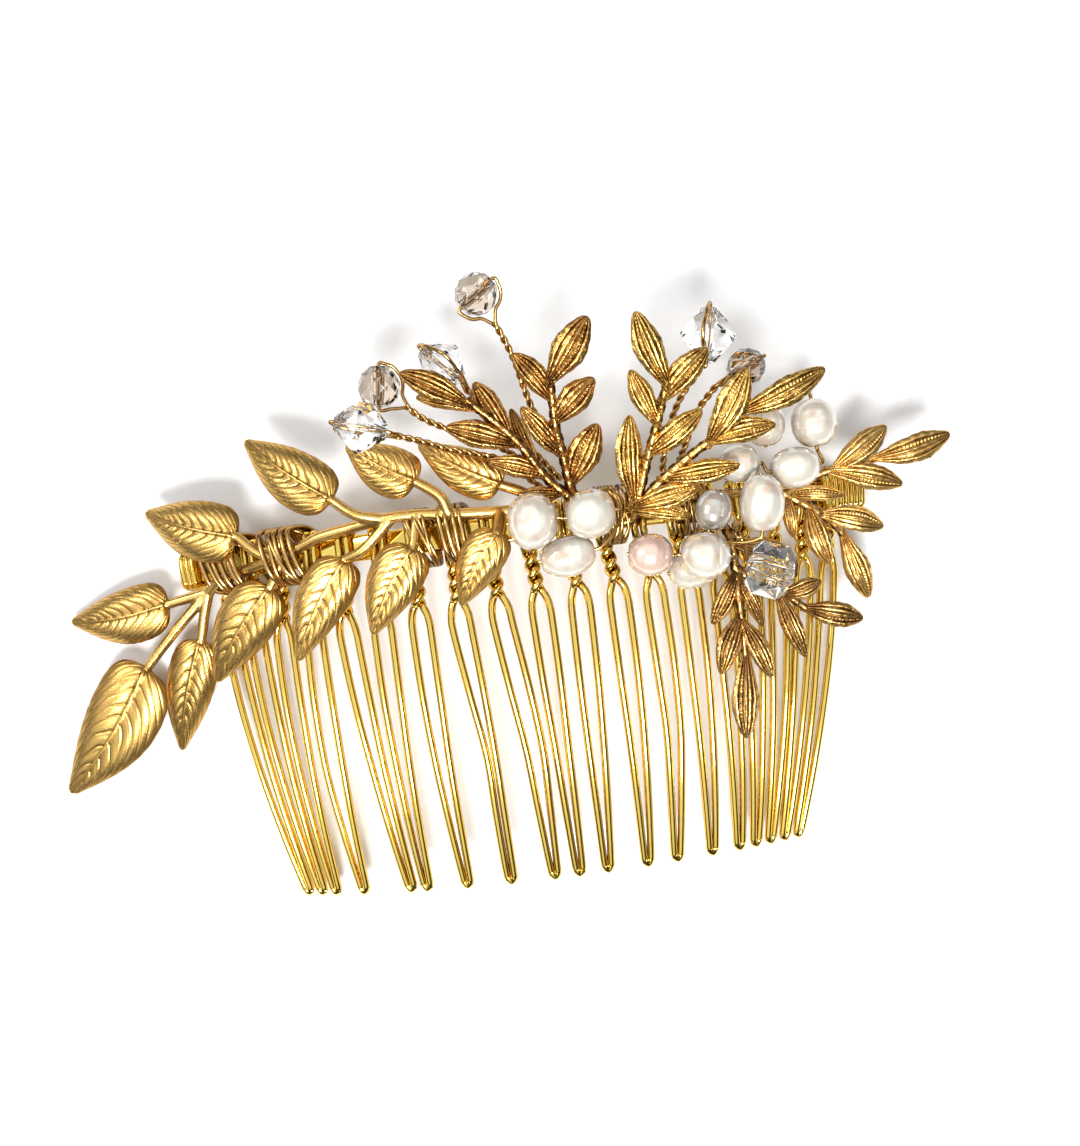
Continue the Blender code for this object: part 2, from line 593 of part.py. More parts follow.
def add_bindings():
    """Each binding wire goes round the bar and everything on it, and passes between the teeth's necks."""
    for name, turns in BINDINGS.items():
        points = []
        for between, in_front in turns:
            for y, height, share in TURN:
                along = between + (in_front - between) * share
                points.append(arch_point(along, y, height))
        add_wire(name, points, BINDING_RADIUS, BINDING_BRASS)


clear_scene()
comb_collection = new_collection("decorative_hair_comb")
helper_collection = new_collection("pieces_to_fuse", rendered=False)
comb_origin = bpy.data.objects.new("comb_origin", None)
comb_origin.location = Vector(COMB_CENTRE) * MM
comb_collection.objects.link(comb_origin)
add_bar()
for tooth in range(TOOTH_COUNT):
    add_tooth(tooth)
add_branch()
add_sprays()
add_pearls()
add_ties()
add_crystals()
add_bindings()
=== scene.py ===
"""The looks of a decorative hair comb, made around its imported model.

Places are in millimetres from the comb's own origin, the middle of the bar at the top of its arch. X runs
along the bar, +Y from the teeth towards the crystals, and Z is up. Shape.piece turns them into the frame's
metres.
"""

import math
import random

import bmesh
import bpy
import numpy as np
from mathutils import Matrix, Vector


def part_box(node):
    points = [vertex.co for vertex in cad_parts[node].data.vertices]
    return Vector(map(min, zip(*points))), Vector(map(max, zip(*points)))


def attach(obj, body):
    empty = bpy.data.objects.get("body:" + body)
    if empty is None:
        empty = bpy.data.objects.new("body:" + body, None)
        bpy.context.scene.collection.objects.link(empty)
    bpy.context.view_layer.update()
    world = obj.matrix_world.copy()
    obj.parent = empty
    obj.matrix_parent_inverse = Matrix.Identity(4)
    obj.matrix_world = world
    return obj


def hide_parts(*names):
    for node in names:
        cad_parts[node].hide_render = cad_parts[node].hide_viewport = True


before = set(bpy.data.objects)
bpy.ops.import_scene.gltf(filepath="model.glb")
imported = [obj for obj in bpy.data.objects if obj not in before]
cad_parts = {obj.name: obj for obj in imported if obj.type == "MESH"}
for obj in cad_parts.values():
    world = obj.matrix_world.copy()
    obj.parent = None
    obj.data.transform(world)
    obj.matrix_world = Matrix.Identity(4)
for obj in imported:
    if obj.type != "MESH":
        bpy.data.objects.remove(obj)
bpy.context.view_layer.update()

MM = 0.001
UP = np.array((0.0, 0.0, 1.0))
# How far a surface looks up where the painted shade on a piece's sides begins, and how fast it deepens
SIDE_FROM = 0.8
SIDE_FADE = 0.7

# The wire comb
ARCH_RADIUS = 70.0
BAR_ARC = 88.0
BAR_WIDTH = 3.0
BAR_THICKNESS = 0.8
BAR_CORNER = 0.28
# The wire wound round the bar's ends: which end, and how many turns
END_WRAPS = ((-1, 2.6), (1, 6.6))
WRAP_INSET = 0.5
WRAP_PITCH = 2.05  # in radii of the wire
TOOTH_COUNT = 19
TOOTH_PITCH = 4.15
TOOTH_OFFSET = 0.5
TOOTH_WIRE = 0.44
TOOTH_DROP = 4.5
NECK_Y = -1.6
NECK_TOP = -3.0
APEX_Y = -7.8
TIP_Y = -40.0
HOOK_LIFT = 0.86
STRAND = 0.52
TWIST = 0.45
NECK_HALF_TURNS = 3
NECK_LEAN = 1.2
STRAIGHT_NECK = 7.5  # the place in the row of teeth where a neck doesn't lean
TOOTH_BOW = 0.15  # how far a tooth's arms may bow unless they are bent
ARM = 1.05
TIP_PLACES = (
    -34.0, -31.9, -29.8, -25.7, -19.2, -17.1, -11.9, -6.4, -1.0, 2.0,
    5.5, 10.5, 14.3, 18.9, 22.6, 24.9, 27.0, 29.1, 31.2,
)
# Teeth that have been bent a little: tooth, how far its left and right arms bow to the right
BENT_ARMS = {3: (-0.5, 0.1), 7: (0.9, 0.2), 8: (0.5, 0.7), 12: (0.5, 0.5)}

# The leaf branch: the stem that carries each leaf, leaf base, leaf tip, leaf width, bend of the midrib
BRANCH_STEM = 0.65
BRANCH_MAIN = (
    (1.5, 1.7, 2.8), (-6.5, 2.2, 2.3), (-11, 2.7, 1.8), (-15, 2.7, 1.3), (-19, 2.2, -0.1),
    (-22.5, 1.7, -1.1), (-25, 0.9, -2.1), (-29, -0.2, -3.8), (-32.5, -1.0, -5.6), (-35.8, -1.8, -7.2),
    (-37.3, -2.8, -8.0),
)
BRANCH_LEAVES = (
    (((-15, 2.7, 1.3), (-18, 3.6, 1.4)), (-20.4, 5.5, 0.8), (-30, 13.7, -3.2), 6.3, 0.3),
    (((-28.5, 0.0, -3.6), (-30.5, 1.2, -3.6)), (-32.3, 3.0, -3.7), (-43.5, 7.3, -7.7), 6.9, 0.4),
    (((-37.3, -2.8, -8.0),), (-42.3, -3.6, -8.7), (-55, -4.3, -11.7), 6.6, 0.6),
    (((-37.3, -2.8, -8.0), (-41.5, -6.5, -8.7)), (-46, -10.8, -9.7), (-58, -24.8, -13.0), 8.8, 0.8),
    (((-37.3, -2.8, -8.0), (-38.2, -5.5, -8.3)), (-39, -8.3, -8.7), (-44, -21.3, -12.7), 5.8, -0.3),
    (((-26.8, 0.4, -2.9),), (-29.2, -3.2, -3.9), (-37.5, -13.3, -7.3), 6.7, -0.5),
    (((-14, 2.7, 1.4), (-17.5, -0.3, 0.7)), (-19.8, -1.2, -0.2), (-26.8, -11.8, -2.2), 5.9, -0.5),
    (((-11.2, 2.7, 1.8),), (-11.9, -0.8, 2.4), (-17.7, -9.8, 0.9), 5.9, -0.4),
    (((-2, 1.9, 2.6),), (-2.5, -0.3, 4.2), (-7.5, -7.8, 2.9), 4.9, -0.3),
    (((-7.6, 2.3, 2.3), (-8.4, 4.4, 2.6)), (-10.7, 6.2, 2.6), (-18, 11.2, 1.6), 5.5, 0.3),
    (((1.5, 1.7, 2.8), (1, 3.4, 3.0)), (-1.5, 4.7, 3.0), (-10, 10.2, 2.6), 5.0, 0.3),
)
# A leaf's half width, as a share of its greatest, at shares of its length from base to tip
LEAF_OUTLINE = (
    (0.0, 0.1), (0.015, 0.48), (0.05, 0.74), (0.13, 0.94), (0.26, 1.02), (0.41, 1.0), (0.56, 0.88),
    (0.71, 0.67), (0.84, 0.43), (0.93, 0.25), (0.98, 0.15), (1.0, 0.03),
)
LEAF_VEINS = (6, 7, 8)
# Heights on a leaf: its dome and the hollow along its middle as shares of its own fullness, the rest in mm
LEAF_DOME = 1.12
LEAF_VALLEY = 0.32
MIDRIB = 0.26
QUILT = 0.085
VEIN_CREASE = 0.08
HALF_VEIN_CREASE = 0.025
VEIN_RIDGE = 0.06
LEAF_BUCKLE = 0.07
LEAF_THICKNESS = 0.34

# The four sprays: stems, and leaflets as base, tip and width
SPRAY_STEM = 0.46
LEAFLET_FOOT = 0.1  # the share of a leaflet that runs back over its stem
# Heights on a leaflet, and how close the beads of its rib may stand
LEAFLET_DOME = 0.5
MARGIN = 0.17
BEADED_RIB = 0.16
PLAIN_RIB = 0.07
MIDDLE_RIB = 0.17
BEADS_PER_MM = (2.3, 2.9)
SPRAYS = {
    "spray_upper_left": (
        (
            (
                (12.0, 0.8, 1.2), (9.0, 0.8, 1.7), (7.0, 1.0, 2.2), (5.5, 2.7, 3.8),
                (3.5, 4.7, 4.8), (0.5, 9.2, 6.8), (-4, 13.7, 8.3),
            ),
            ((7.0, 1.0, 2.2), (6, 3.2, 3.8), (5.5, 6.7, 5.8), (5, 10.2, 7.8), (5, 14.7, 9.8)),
        ),
        (
            ((-4, 13.2, 8.3), (-10.5, 17.2, 9.3), 2.8),
            ((-2.9, 12.5, 7.9), (-9.3, 14.8, 7.0), 2.0),
            ((0, 9.7, 6.8), (-3, 15.7, 6.6), 2.7),
            ((0.5, 8.6, 6.6), (-6.5, 11.2, 7.4), 2.8),
            ((3.5, 4.9, 4.8), (-2.5, 7.2, 5.6), 2.3),
            ((2.6, 6.4, 5.3), (0.5, 12.7, 4.6), 1.8),
            ((5, 2.9, 3.9), (0.2, 3.4, 4.4), 1.8),
            ((5, 14.5, 9.8), (9.5, 20.2, 11.8), 3.5),
            ((5, 12.4, 8.8), (1.5, 17.7, 9.6), 2.6),
            ((5, 10.4, 7.8), (9.5, 14.2, 9.4), 3.0),
            ((5.5, 6.9, 5.9), (1.7, 12.2, 8.2), 2.4),
            ((6, 4.0, 4.2), (9.5, 9.7, 6.2), 3.4),
        ),
    ),
    "spray_upper_middle": (
        (
            (
                (8.6, -1.1, 1.6), (11.8, -0.8, 1.4), (12.7, 0.5, 3.4),
                (14.5, 5.7, 5.8), (16, 9.7, 7.8), (17, 12.9, 9.8),
            ),
            ((12.7, 0.5, 3.4), (16, 3.2, 4.8), (19, 5.2, 6.3), (21.5, 6.7, 7.3), (25, 9.2, 8.8)),
        ),
        (
            ((17, 12.7, 9.7), (14.5, 20.2, 11.2), 3.0),
            ((16.5, 11.2, 8.7), (21.5, 15.7, 10.6), 2.9),
            ((15.7, 8.9, 7.5), (13.5, 14.7, 8.4), 2.4),
            ((14.5, 5.9, 5.9), (20.5, 9.7, 7.9), 2.6),
            ((12.7, 1.4, 4.1), (13, 10.2, 6.2), 2.9),
            ((24.7, 9.0, 8.7), (33.5, 12.2, 9.8), 2.9),
            ((21, 6.4, 7.2), (25.5, 13.2, 9.6), 3.3),
            ((21, 6.2, 7.1), (28, 7.2, 8.2), 2.6),
            ((16, 3.2, 4.9), (24, 3.5, 6.6), 2.6),
            ((12.6, 0.6, 3.8), (19.5, 1.8, 5.4), 2.7),
            ((12.0, 0.2, 3.4), (18.4, -1.2, 4.4), 2.0),
        ),
    ),
    "spray_right": (
        (
            (
                (17.4, 1.0, 0.1), (22, 1.0, -1.2), (27, 0.8, -3.1), (30, 0.2, -2.6),
                (33, 1.5, -2.9), (35.5, 2.2, -2.7), (41.5, 3.2, -3.2),
            ),
            ((30, 0.2, -2.6), (33, -1.8, -3.2), (35.5, -3.8, -4.2), (37, -5.8, -5.2)),
        ),
        (
            ((36, 2.4, -2.7), (42.2, 6.4, -1.9), 2.9),
            ((41, 3.1, -3.1), (49.5, 4.7, -2.7), 3.1),
            ((35.5, 2.1, -2.7), (43.5, -0.3, -2.7), 2.9),
            ((30.6, 0.0, -2.5), (36.4, -0.8, -1.4), 1.8),
            ((34.2, -2.7, -3.6), (41, -4.8, -3.6), 2.9),
            ((36.6, -5.3, -5.0), (39, -12.8, -6.4), 2.9),
            ((32.7, -1.6, -3.1), (34.3, -8.3, -3.4), 2.6),
            ((30.2, 0.0, -2.6), (30.5, -4.8, -2.6), 1.6),
        ),
    ),
    "spray_lower": (
        (
            (
                (17.4, -1.2, 0.0), (21.6, -1.6, -1.0), (23, -4.3, 0.4),
                (23, -7.8, 0.6), (23, -12.3, 0.8), (23, -17.8, 0.3),
            ),
            ((23, -7.4, 0.6), (26.5, -10.3, -0.6), (28.5, -11.0, -1.4), (31, -13.1, -2.2)),
        ),
        (
            ((23, -17.4, 0.4), (22, -26.3, 0.2), 3.0),
            ((23.1, -13.4, 0.8), (25.5, -19.8, 1.4), 2.4),
            ((23, -12.6, 0.8), (20, -18.8, 1.2), 2.6),
            ((23, -7.8, 0.7), (19.8, -13.3, 0.2), 2.2),
            ((23.1, -8.2, 0.6), (25.5, -14.3, -0.6), 1.6),
            ((28.3, -10.9, -1.2), (32.5, -10.0, -0.2), 2.2),
            ((30.8, -12.9, -2.1), (37, -14.8, -1.8), 2.8),
            ((27.6, -10.7, -1.0), (30, -18.3, -1.2), 2.2),
            ((23, -4.6, 0.5), (28.8, -5.6, -0.6), 2.2),
        ),
    ),
}
LEAFLET_OUTLINE = (
    (0.0, 0.3), (0.09, 0.34), (0.2, 0.54), (0.36, 0.86), (0.53, 1.03), (0.67, 1.0), (0.79, 0.82),
    (0.89, 0.57), (0.955, 0.37), (0.99, 0.2), (1.0, 0.05),
)

# Pearls: hole axis, and how uneven the pearl is
PEARLS = {
    "pearl_left_a": ((1, 0, 0), 0.05),
    "pearl_left_b": ((1, 0.05, 0), 0.04),
    "pearl_left_c": ((1, 0.1, 0), 0.05),
    "pearl_middle_a": ((1, -0.15, 0), 0.03),
    "pearl_middle_b": ((1, -0.15, 0), 0.04),
    "pearl_middle_c": ((1, 0.1, 0), 0.05),
    "pearl_right_a": ((0.35, 1, 0), 0.04),
    "pearl_right_b": ((0.1, 1, 0), 0.05),
    "pearl_right_c": ((1, 0.05, 0), 0.04),
    "pearl_right_d": ((1, -0.1, 0), 0.05),
    "pearl_right_e": ((0.1, 1, 0), 0.05),
    "pearl_right_f": ((0, 1, 0), 0.03),
}
RINGED_PEARL = "pearl_middle_b"
PEARL_BORE = 0.42
TIE_WIRE = 0.2
TIE_HANDLE = 1.5
TIES = {
    "pearl_tie_left": (("pearl_left_a", 1), ("pearl_left_b", 1), ("pearl_left_c", -1)),
    "pearl_tie_middle": (("pearl_middle_a", 1), ("pearl_middle_b", 1), ("pearl_middle_c", -1)),
    "pearl_tie_right": (("pearl_right_a", -1), ("pearl_right_b", 1)),
    "pearl_tie_upper_right": (
        ("pearl_right_d", 1), ("pearl_right_c", 1), ("pearl_right_f", 1), ("pearl_right_e", -1),
    ),
}

# Crystals: cut, hole axis, side of the loop, stem route
CRYSTAL_BORE = 0.42
CRYSTAL_WIRE = 0.2
LOOP_CLEARANCE = 0.3
LOOP_SHOULDER = 0.9  # from the loop to where the stem's twist begins
HALF_WAY_ROUND = math.radians(150)  # a loop of more than this needs to be told its side
STEM_PITCH = 2.1
CRYSTALS = {
    "crystal_bicone_left": (
        "bicone", (0.95, -0.3, 0), (0, -0.2, -1),
        (
            (-9, 10, 6.5), (-6.5, 9, 5.5), (-3, 8, 4.6), (-1.2, 7.4, 3.4), (1.0, 5.6, 2.2), (2.8, 4.0, 1.4),
        ),
    ),
    "crystal_round_left": (
        "round", (0.1, 1, 0), (1, 0, 0),
        ((-9, 12.8, 4.2), (-6.5, 11.4, 3.9), (-3, 9.9, 3.9), (0.4, 7.6, 3.2), (4.0, 4.2, 1.6)),
    ),
    "crystal_bicone_middle": (
        "bicone", (0.7, -0.7, 0), (0.2, 0.2, 1),
        ((-2.6, 13.6, 4.2), (-0.6, 11.2, 3.8), (1.8, 8.6, 3.4), (5.0, 4.6, 1.6)),
    ),
    "crystal_round_top": (
        "round", (0.8, 0.6, 0), (0.3, 0.3, 1),
        ((0.5, 20.4, 6.2), (1.6, 17.5, 5.0), (3.0, 12, 4.0), (6.2, 5.0, 1.6)),
    ),
    "crystal_bicone_right": (
        "bicone", (0.2, 1, 0), (-0.3, 0, 1),
        ((20.4, 13.6, 4.2), (18.4, 10.8, 3.0), (17.0, 7.4, 1.4), (16.4, 4.2, -0.4)),
    ),
    "crystal_round_right": (
        "round", (0.9, 0.4, 0), (0, 0.2, -1),
        ((22.6, 12.2, 4.6), (20.4, 9.8, 3.4), (19.2, 7, 1.6), (18.2, 4.9, -0.5)),
    ),
    "crystal_cube": (
        "cube", (0.92, -0.38, 0), (0, 0.5, 1),
        ((23.4, -3.6, 2.6), (23.6, -2.6, 0.6), (24.4, -2.4, -1.6)),
    ),
}

# Binding wires: wire radius, how far a turn bulges along the bar, and for each turn its place between two
# teeth and where it crosses the back and the front of what it holds
BINDINGS = {
    "binding_wire_outer": (
        (0.31, 0.0, (
            (-35.4, -38.0, -36.9), (-34.8, -37.2, -35.8), (-34.2, -36.3, -34.6),
            (-31.3, -35.3, -33.9), (-30.7, -34.4, -32.8), (-30.1, -33.5, -32.2),
        )),
    ),
    "binding_wire_fork": (
        (0.31, 0.0, (
            (-27.1, -29.4, -27.9), (-26.5, -28.2, -27.6), (-25.9, -27.6, -26.3),
            (-22.9, -26.7, -25.6), (-22.3, -25.9, -24.5), (-21.9, -28.6, -25.9),
        )),
    ),
    "binding_wire_inner": (
        (0.22, 0.0, ((-10.5, -12.6, -10.6), (-10.1, -11.4, -9.4), (-9.7, -12.2, -9.9))),
        (0.22, 0.0, ((-10.3, -12.0, -10.2), (-9.9, -10.9, -8.9), (-9.5, -10.4, -9.6))),
        (0.3, 0.0, ((-6.4, -8.4, -7.7), (-5.9, -7.7, -7.0), (-5.4, -6.9, -6.4), (-5.0, -6.2, -5.6))),
    ),
    "binding_wire_middle": (
        (0.19, 1.1, (
            (10.2, 8.4, 8.2), (10.5, 8.7, 8.7), (10.8, 9.2, 8.9), (11.1, 9.5, 9.4), (11.5, 9.9, 9.6),
        )),
        (0.17, 0.5, ((10.3, 9.8, 10.3), (10.7, 11.0, 9.9), (11.0, 10.3, 11.0), (11.4, 11.6, 10.6))),
    ),
    "binding_wire_right": (
        (0.19, 0.0, ((18.5, 17.2, 18.0), (18.8, 18.6, 17.6), (19.2, 18.0, 18.8), (19.7, 19.4, 19.0))),
        (0.17, 0.3, ((18.6, 18.9, 19.8), (19.0, 20.2, 18.9), (19.4, 19.6, 20.4))),
    ),
}
# One turn round the bar, the hooks and the stems on them: y, height over the bar, and how far it has come
# from its place between the teeth to where it crosses
TURN = (
    (-2.5, -1.2, 0.0), (-3.0, 0.6, 0.25), (-2.8, 2.2, 0.85), (-1.3, 3.1, 1.0),
    (1.5, 3.3, 1.0), (3.1, 2.3, 1.0), (3.0, -0.6, 0.75), (0.6, -1.8, 0.25),
)
TURN_REACH = 3.1
# How loosely a turn lies: along the bar, and in height
TURN_SWAY = 0.2
TURN_LIFT = 0.15

# The camera looks straight down, as high over the bar's top and as turned as the photographer stood
CAMERA_OVER = (1.5, -5.3)
CAMERA_HEIGHT = 150.0
CAMERA_TURN = math.radians(-7)
LENS = 42.4
SENSOR = 36.0
FLOOR_SIZE = 2.4
FLOOR_DROP = 0.0001
# The studio's light by the cosine to the middle of its bright ceiling: cosine, level
SKY_TOP = (-0.2, 0.12, 1.0)
SKY_STOPS = ((0.0, 0.25), (0.12, 0.04), (0.5, 0.06), (0.64, 0.9), (0.84, 1.1), (0.98, 0.9))
SKY_STRENGTH = 0.87
# Softboxes, in metres and watts: place, size and power
SOFTBOXES = {
    "key_softbox": ((-0.02, -0.15, 0.36), 0.1, 1.9),
    "fill_softbox": ((-0.26, 0.12, 0.3), 0.12, 0.45),
}


def bar_origin():
    """The comb's own origin in the frame, in millimetres."""
    low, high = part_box("top_bar")
    middle = (low + high) / 2
    return np.array((middle.x, middle.y, high.z)) / MM - UP * BAR_THICKNESS / 2


ORIGIN = bar_origin()


def unit(vector):
    return np.asarray(vector, float) / np.linalg.norm(vector)


class Shape:
    """Vertices and faces for one mesh, with a mark from 0 to 1 on each vertex for its painted shade, and on
    the leaflets an uneven tone too.
    """

    def __init__(self):
        self.points, self.faces, self.marks = [], [], []
        self.count = 0

    def add(self, points, faces, marks):
        self.faces.extend((np.asarray(faces) + self.count).tolist())
        self.points.append(points)
        self.marks.append(np.broadcast_to(marks, len(points)))
        self.count += len(points)

    def loft(self, rings, marks=0.0, closed_along=False):
        """A skin over rings of equal length, closed by a point at each end or run back to the first ring."""
        rings = np.asarray(rings, float)
        count, around = rings.shape[:2]
        marks = np.broadcast_to(marks, (count, around))
        ids = np.arange(count * around).reshape(count, around)
        after = np.roll(ids, -1, axis=1)
        quads = np.stack((ids, after, np.roll(after, -1, axis=0), np.roll(ids, -1, axis=0)), axis=-1)
        if not closed_along:
            quads = quads[:-1]
        self.add(rings.reshape(-1, 3), quads.reshape(-1, 4), marks.reshape(-1))
        if not closed_along:
            for ring, order in ((0, 1), (-1, -1)):
                centre = rings[ring].mean(axis=0)
                corners = rings[ring][::order]
                fan = [(0, step + 1, (step + 1) % around + 1)[::-1] for step in range(around)]
                self.add(np.vstack((centre, corners)), fan, marks[ring].mean())

    def tube(self, route, radius, sides=12, marks=0.0):
        """A round wire along a route. The radius is one number, or one for each point."""
        ahead, across, other = travel(route)
        angles = np.linspace(0, 2 * math.pi, sides, endpoint=False)
        radii = np.broadcast_to(radius, len(route))[:, None, None]
        cosines, sines = np.cos(angles)[:, None], np.sin(angles)[:, None]
        round_about = across[:, None] * cosines + other[:, None] * sines
        self.loft(route[:, None] + round_about * radii, marks)

    def piece(self, name, finish, nodes, slot, side_shade=0.0):
        mesh = bpy.data.meshes.new(name)
        points = (np.vstack(self.points) + ORIGIN) * MM
        mesh.from_pydata(points.tolist(), [], self.faces)
        mesh.validate()
        # The per-vertex mark of painted shade, with some uneven tone on the leaflets
        painted_shade_and_tone = mesh.attributes.new("painted_shade_and_tone", "FLOAT", "POINT")
        painted_shade_and_tone.data.foreach_set("value", np.concatenate(self.marks).astype(np.float32))
        mesh.polygons.foreach_set("use_smooth", [True] * len(mesh.polygons))
        # Faces that turn sideways get painted shade on top of the marks they already have
        shade_sides(mesh, side_shade)
        mesh.materials.append(finish)
        made = bpy.data.objects.new(name, mesh)
        bpy.context.scene.collection.objects.link(made)
        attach(made, "comb")
        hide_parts(*nodes)
        return made


def shade_sides(mesh, amount):
    """Marks what faces sideways with painted shade too, the more so the further it turns from straight up or
    down.
    """
    normals = np.empty(3 * len(mesh.vertices), np.float32)
    mesh.vertex_normals.foreach_get("vector", normals)
    facing_up = abs(normals.reshape(-1, 3)[:, 2])
    painted_shade_and_tone = mesh.attributes["painted_shade_and_tone"].data
    marks = np.empty(len(painted_shade_and_tone), np.float32)
    painted_shade_and_tone.foreach_get("value", marks)
    painted_side_shade = amount * np.clip((SIDE_FROM - facing_up) / SIDE_FADE, 0, 1)
    painted_shade_and_tone.foreach_set("value", np.maximum(marks, painted_side_shade).astype(np.float32))


def travel(route):
    """The direction of travel at each point of a route, and two directions across it that don't twist."""
    ahead = np.gradient(route, axis=0)
    ahead /= np.linalg.norm(ahead, axis=1, keepdims=True)
    start = np.cross(ahead[0], UP)
    if np.linalg.norm(start) < 0.1:
        start = np.array((1.0, 0.0, 0.0))
    across = [start]
    for direction in ahead:
        moved = across[-1] - direction * across[-1].dot(direction)
        across.append(unit(moved))
    across = np.array(across[1:])
    return ahead, across, np.cross(ahead, across)


def smooth_route(points, spacing):
    """A smooth curve through the points, with a point at about every spacing."""
    knots = np.array(points, float)
    knots = np.vstack((2 * knots[0] - knots[1], knots, 2 * knots[-1] - knots[-2]))
    runs = []
    for before, start, end, after in zip(knots, knots[1:], knots[2:], knots[3:]):
        steps = max(2, round(np.linalg.norm(end - start) / spacing))
        t = np.linspace(0, 1, steps, endpoint=False)[:, None]
        runs.append(
            start
            + 0.5 * (end - before) * t
            + (before - 2.5 * start + 2 * end - 0.5 * after) * t**2
            + (1.5 * (start - end) + 0.5 * (after - before)) * t**3
        )
    runs.append(knots[-2][None])
    return np.vstack(runs)


def arch_points(along, y, height):
    """Points given by distance along the bar, y, and height over the middle of the bar's thickness."""
    angle = np.asarray(along) / ARCH_RADIUS
    reach = ARCH_RADIUS + np.asarray(height)
    places = (reach * np.sin(angle), np.broadcast_to(y, angle.shape), reach * np.cos(angle) - ARCH_RADIUS)
    return np.stack(places, axis=-1)


def outline_at(outline, shares):
    """The outline's half width at each share, on a smooth curve through its points."""
    dense = smooth_route([(share, half, 0) for share, half in outline], 0.01)
    return np.interp(shares, dense[:, 0], dense[:, 1])


def bell(distance, width):
    return np.exp(-((distance / width) ** 2))


# ---------------------------------------------------------------- finishes


NOISE_ROUGH = 0.55


class Finish:
    """One procedural material, built up node by node around its Principled shader."""

    def __init__(self, name):
        self.material = bpy.data.materials.new(name)
        self.material.use_nodes = True
        self.tree = self.material.node_tree
        self.shader = self.tree.nodes["Principled BSDF"]
        self.place = self.node("ShaderNodeTexCoord").outputs["Object"]

    def node(self, kind, inputs=None, **settings):
        made = self.tree.nodes.new(kind)
        for name, value in settings.items():
            setattr(made, name, value)
        for key, value in (inputs or {}).items():
            self.plug(made.inputs[key], value)
        return made

    def plug(self, socket, value):
        if isinstance(value, bpy.types.NodeSocket):
            self.tree.links.new(value, socket)
        else:
            socket.default_value = value

    def set(self, **values):
        for name, value in values.items():
            self.plug(self.shader.inputs[name.replace("_", " ")], value)

    def noise(self, grain, detail):
        """Noise with a grain in millimetres."""
        inputs = {"Vector": self.place, "Scale": 1 / (grain * MM), "Detail": detail, "Roughness": NOISE_ROUGH}
        return self.node("ShaderNodeTexNoise", inputs).outputs["Fac"]

    def attribute(self, name):
        return self.node("ShaderNodeAttribute", attribute_name=name).outputs["Fac"]

    def math(self, operation, first, second, clamp=False):
        made = self.node("ShaderNodeMath", {0: first, 1: second}, operation=operation, use_clamp=clamp)
        return made.outputs["Value"]

    def ramp(self, factor, *stops):
        """A colour ramp through (place, colour) stops."""
        made = self.node("ShaderNodeValToRGB", {"Fac": factor})
        elements = made.color_ramp.elements
        while len(elements) < len(stops):
            elements.new(0.5)
        for element, (place, colour) in zip(elements, stops):
            element.position = place
            element.color = (*colour, 1.0)
        return made.outputs["Color"]

    def span(self, factor, low, high):
        """The factor's 0 to 1 turned into low to high."""
        inputs = {"Value": factor, "To Min": low, "To Max": high}
        return self.node("ShaderNodeMapRange", inputs).outputs["Result"]

    def bump(self, height, depth, strength=1.0, after=None):
        """A bump of that depth in millimetres, on top of another."""
        inputs = {"Height": height, "Distance": depth * MM, "Strength": strength}
        if after is not None:
            inputs["Normal"] = after
        return self.node("ShaderNodeBump", inputs).outputs["Normal"]


def metal_finish(name, bright, middle, dark, roughness, grain, grain_depth, blotch):
    """Metal darker and duller where the mark paints shade into it, in creases and recesses and on sideways
    faces, with a fine grain and soft blotches of tarnish.
    """
    finish = Finish(name)
    blotches = finish.noise(1.6, detail=4.0)
    fine = finish.noise(grain, detail=2.0)
    lifted = finish.math("MULTIPLY", finish.math("SUBTRACT", blotches, 0.5), blotch)
    # Painted shade from the mark, with blotches of tarnish laid over it
    depth = finish.math("ADD", finish.attribute("painted_shade_and_tone"), lifted)
    speckle = finish.math("MULTIPLY", finish.math("SUBTRACT", fine, 0.5), 0.25)
    shade_and_tarnish = finish.math("ADD", depth, speckle, clamp=True)
    dull = finish.math("ADD", shade_and_tarnish, finish.math("MULTIPLY", blotches, 0.4), clamp=True)
    finish.set(
        # The lit colour where the mark is low, then darker copies of it as the painted shade grows
        Base_Color=finish.ramp(shade_and_tarnish, (0.0, bright), (0.35, middle), (0.85, dark)),
        Metallic=1.0,
        Roughness=finish.span(dull, *roughness),
        Normal=finish.bump(fine, grain_depth, after=finish.bump(blotches, grain_depth * 2, 0.5)),
    )
    return finish.material


